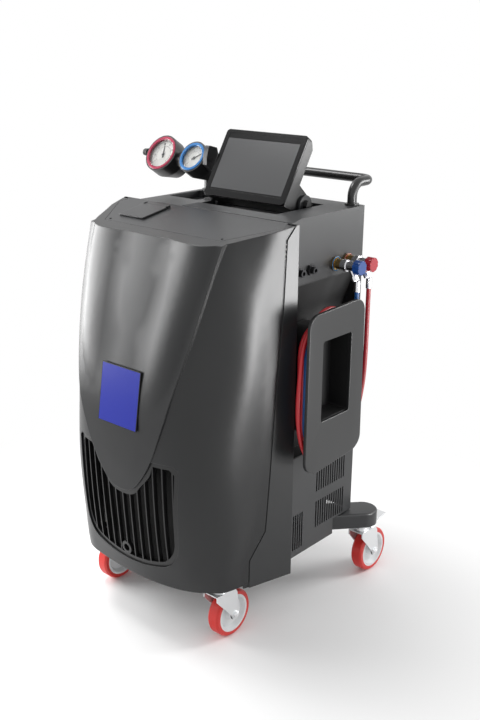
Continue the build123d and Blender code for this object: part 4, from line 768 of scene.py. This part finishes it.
# Field of the display, a little lighter than the black border round it, just over the screen's face
SCREEN_LEAN = math.radians(31.3)
SCREEN_OUT = Vector((0, -math.cos(SCREEN_LEAN), math.sin(SCREEN_LEAN)))
SCREEN_UP = Vector((0, math.sin(SCREEN_LEAN), math.cos(SCREEN_LEAN)))
SCREEN_FOOT = at(35, -28.2, 1061.7)
SCREEN_HALF_HEIGHT = 92
AREA_HALF_WIDTH = 117
AREA_HALF_HEIGHT = 69.5
AREA_DEPTH = 0.45
area_middle = SCREEN_FOOT + SCREEN_UP * (SCREEN_HALF_HEIGHT * MM) - SCREEN_OUT * (AREA_DEPTH * MM)
area_corners = [area_middle + ACROSS * (x * AREA_HALF_WIDTH * MM) + SCREEN_UP * (y * AREA_HALF_HEIGHT * MM)
                for x, y in ((-1, -1), (1, -1), (1, 1), (-1, 1))]
mesh_piece("display_area", area_corners, [(0, 1, 2, 3)], screen_finish, "display", smooth=False)

# Rings and nuts round the service ports
PORT_HEIGHT = 922
PORTS = {"low": (54, ring_blue_finish), "high": (104, ring_red_finish)}
for tag, (y, colour) in PORTS.items():
    turned_piece(f"port_ring_{tag}", [(15.4, 4.0), (15.2, 4.8), (15.8, 5.6), (16.8, 6.0), (17.8, 5.6),
                                      (18.4, 4.8), (18.2, 4.0)],
                 at(BODY_HALF, y, PORT_HEIGHT), ACROSS, colour, "cabinet")
    turned_piece(f"port_nut_{tag}", [(7.1, 4.0), (11.0, 4.0), (11.5, 4.6), (11.5, 7.4), (11.0, 8.0),
                                     (7.1, 8.0)],
                 at(BODY_HALF, y, PORT_HEIGHT), ACROSS, brass_finish, "cabinet", count=6, angle=20)

# Casters
CASTERS = {
    "front_left": (-208.5, -303), "front_right": (208.5, -303),
    "rear_left": (-291, 203), "rear_right": (291, 203),
}
WHEEL = 62.5
TRAIL = 38.0
NUT_SEAT = 26
CAP_SEAT = 19.6
for tag, (x, y) in CASTERS.items():
    for way, hand in ((-1, "left"), (1, "right")):
        turned_piece(f"axle_nut_{tag}_{hand}",
                     [(0, 4.6), (4.0, 4.6), (4.4, 4.2), (4.4, 3.0), (8.6, 3.0), (9.2, 2.4), (9.2, -2.6),
                      (0, -2.6)],
                     at(x + way * NUT_SEAT, y + TRAIL, WHEEL), (way, 0, 0), zinc_finish,
                     f"caster_{tag}_swivel", count=6, angle=20)
        turned_piece(f"hub_cap_{tag}_{hand}",
                     [(6.4, 0.0), (15.4, 0.0), (15.4, 0.4), (14.6, 1.0), (11.5, 1.0), (11.0, 0.6),
                      (6.4, 0.6)],
                     at(x + way * CAP_SEAT, y + TRAIL, WHEEL), (way, 0, 0), device_finish,
                     f"caster_{tag}_wheel", count=32)

# Floor and light


def backdrop():
    """Pale floor that keeps the shadow; away from the object it goes over to plain white."""
    mesh = bpy.data.meshes.new("floor")
    half = 14.0
    mesh.from_pydata([(-half, -half, 0), (half, -half, 0), (half, half, 0), (-half, half, 0)], [],
                     [(0, 1, 2, 3)])
    floor = bpy.data.objects.new("floor", mesh)
    scene.collection.objects.link(floor)
    material = bpy.data.materials.new("floor_pale")
    material.use_nodes = True
    tree = material.node_tree
    link = tree.links.new
    shader = tree.nodes["Principled BSDF"]
    shader.inputs["Base Color"].default_value = (0.90, 0.90, 0.90, 1)
    shader.inputs["Roughness"].default_value = 0.7
    shader.inputs["Specular IOR Level"].default_value = 0.2
    white = node(tree, "ShaderNodeEmission")
    place = node(tree, "ShaderNodeTexCoord")
    distance = node(tree, "ShaderNodeVectorMath", operation="LENGTH")
    link(place.outputs["Object"], distance.inputs[0])
    away = node(tree, "ShaderNodeMapRange", interpolation_type="SMOOTHSTEP")
    away.inputs["From Min"].default_value = 0.40
    away.inputs["From Max"].default_value = 1.2
    link(distance.outputs["Value"], away.inputs["Value"])
    shown = node(tree, "ShaderNodeMath", operation="MULTIPLY")
    link(away.outputs[0], shown.inputs[0])
    link(background_seen(tree), shown.inputs[1])
    both = node(tree, "ShaderNodeMixShader")
    link(shown.outputs[0], both.inputs["Fac"])
    link(shader.outputs["BSDF"], both.inputs[1])
    link(white.outputs["Emission"], both.inputs[2])
    link(both.outputs["Shader"], tree.nodes["Material Output"].inputs["Surface"])
    mesh.materials.append(material)


def background_seen(tree):
    """Socket that is 1 for camera, transmission and glossy rays, which show the white background."""
    path = node(tree, "ShaderNodeLightPath")
    first = node(tree, "ShaderNodeMath", operation="MAXIMUM")
    tree.links.new(path.outputs["Is Camera Ray"], first.inputs[0])
    tree.links.new(path.outputs["Is Transmission Ray"], first.inputs[1])
    seen = node(tree, "ShaderNodeMath", operation="MAXIMUM")
    tree.links.new(first.outputs[0], seen.inputs[0])
    tree.links.new(path.outputs["Is Glossy Ray"], seen.inputs[1])
    return seen.outputs[0]


def softbox(name, azimuth, distance, height, size, power, aim=0.6, sheen_only=False):
    """Area light round the object at an azimuth from the front, towards +X, facing its middle.
    With sheen_only it shows in reflections and lights no diffuse surface."""
    a = math.radians(azimuth)
    place = Vector((math.sin(a) * distance, -math.cos(a) * distance, height))
    data = bpy.data.lights.new(name, "AREA")
    data.shape = "RECTANGLE"
    data.size, data.size_y = size
    data.energy = power
    light = bpy.data.objects.new(name, data)
    light.location = place
    light.rotation_euler = (Vector((0, 0, aim)) - place).to_track_quat("-Z", "Y").to_euler()
    light.visible_diffuse = not sheen_only
    scene.collection.objects.link(light)


def studio():
    """Pale surroundings, and the lamps that are mirrored in the dark hood and panels."""
    world = bpy.data.worlds.new("studio")
    scene.world = world
    world.use_nodes = True
    tree = world.node_tree
    link = tree.links.new
    background = tree.nodes["Background"]
    background.inputs["Color"].default_value = (1, 1, 1, 1)
    strength = node(tree, "ShaderNodeMapRange")
    strength.inputs["To Min"].default_value = 0.60
    strength.inputs["To Max"].default_value = 1.0
    link(background_seen(tree), strength.inputs["Value"])
    link(strength.outputs[0], background.inputs["Strength"])
    softbox("left_box", -67, 1.9, 1.02, (1.3, 1.2), 42)
    # Narrow lamps beside the left one let its reflection fade out towards the front
    for azimuth, power in ((-44, 4.5), (-38.5, 1.2), (-33, 0.3)):
        softbox(f"left_edge_{azimuth}", azimuth, 1.9, 1.02, (0.18, 1.2), power)
    softbox("right_box", 104, 1.6, 0.66, (0.42, 1.0), 26, sheen_only=True)
    softbox("rear_box", 140, 1.8, 1.2, (0.6, 0.6), 16)
    softbox("top_box", -74, 1.5, 3.1, (0.9, 0.7), 34)


backdrop()
studio()
scene.view_settings.view_transform = "Standard"
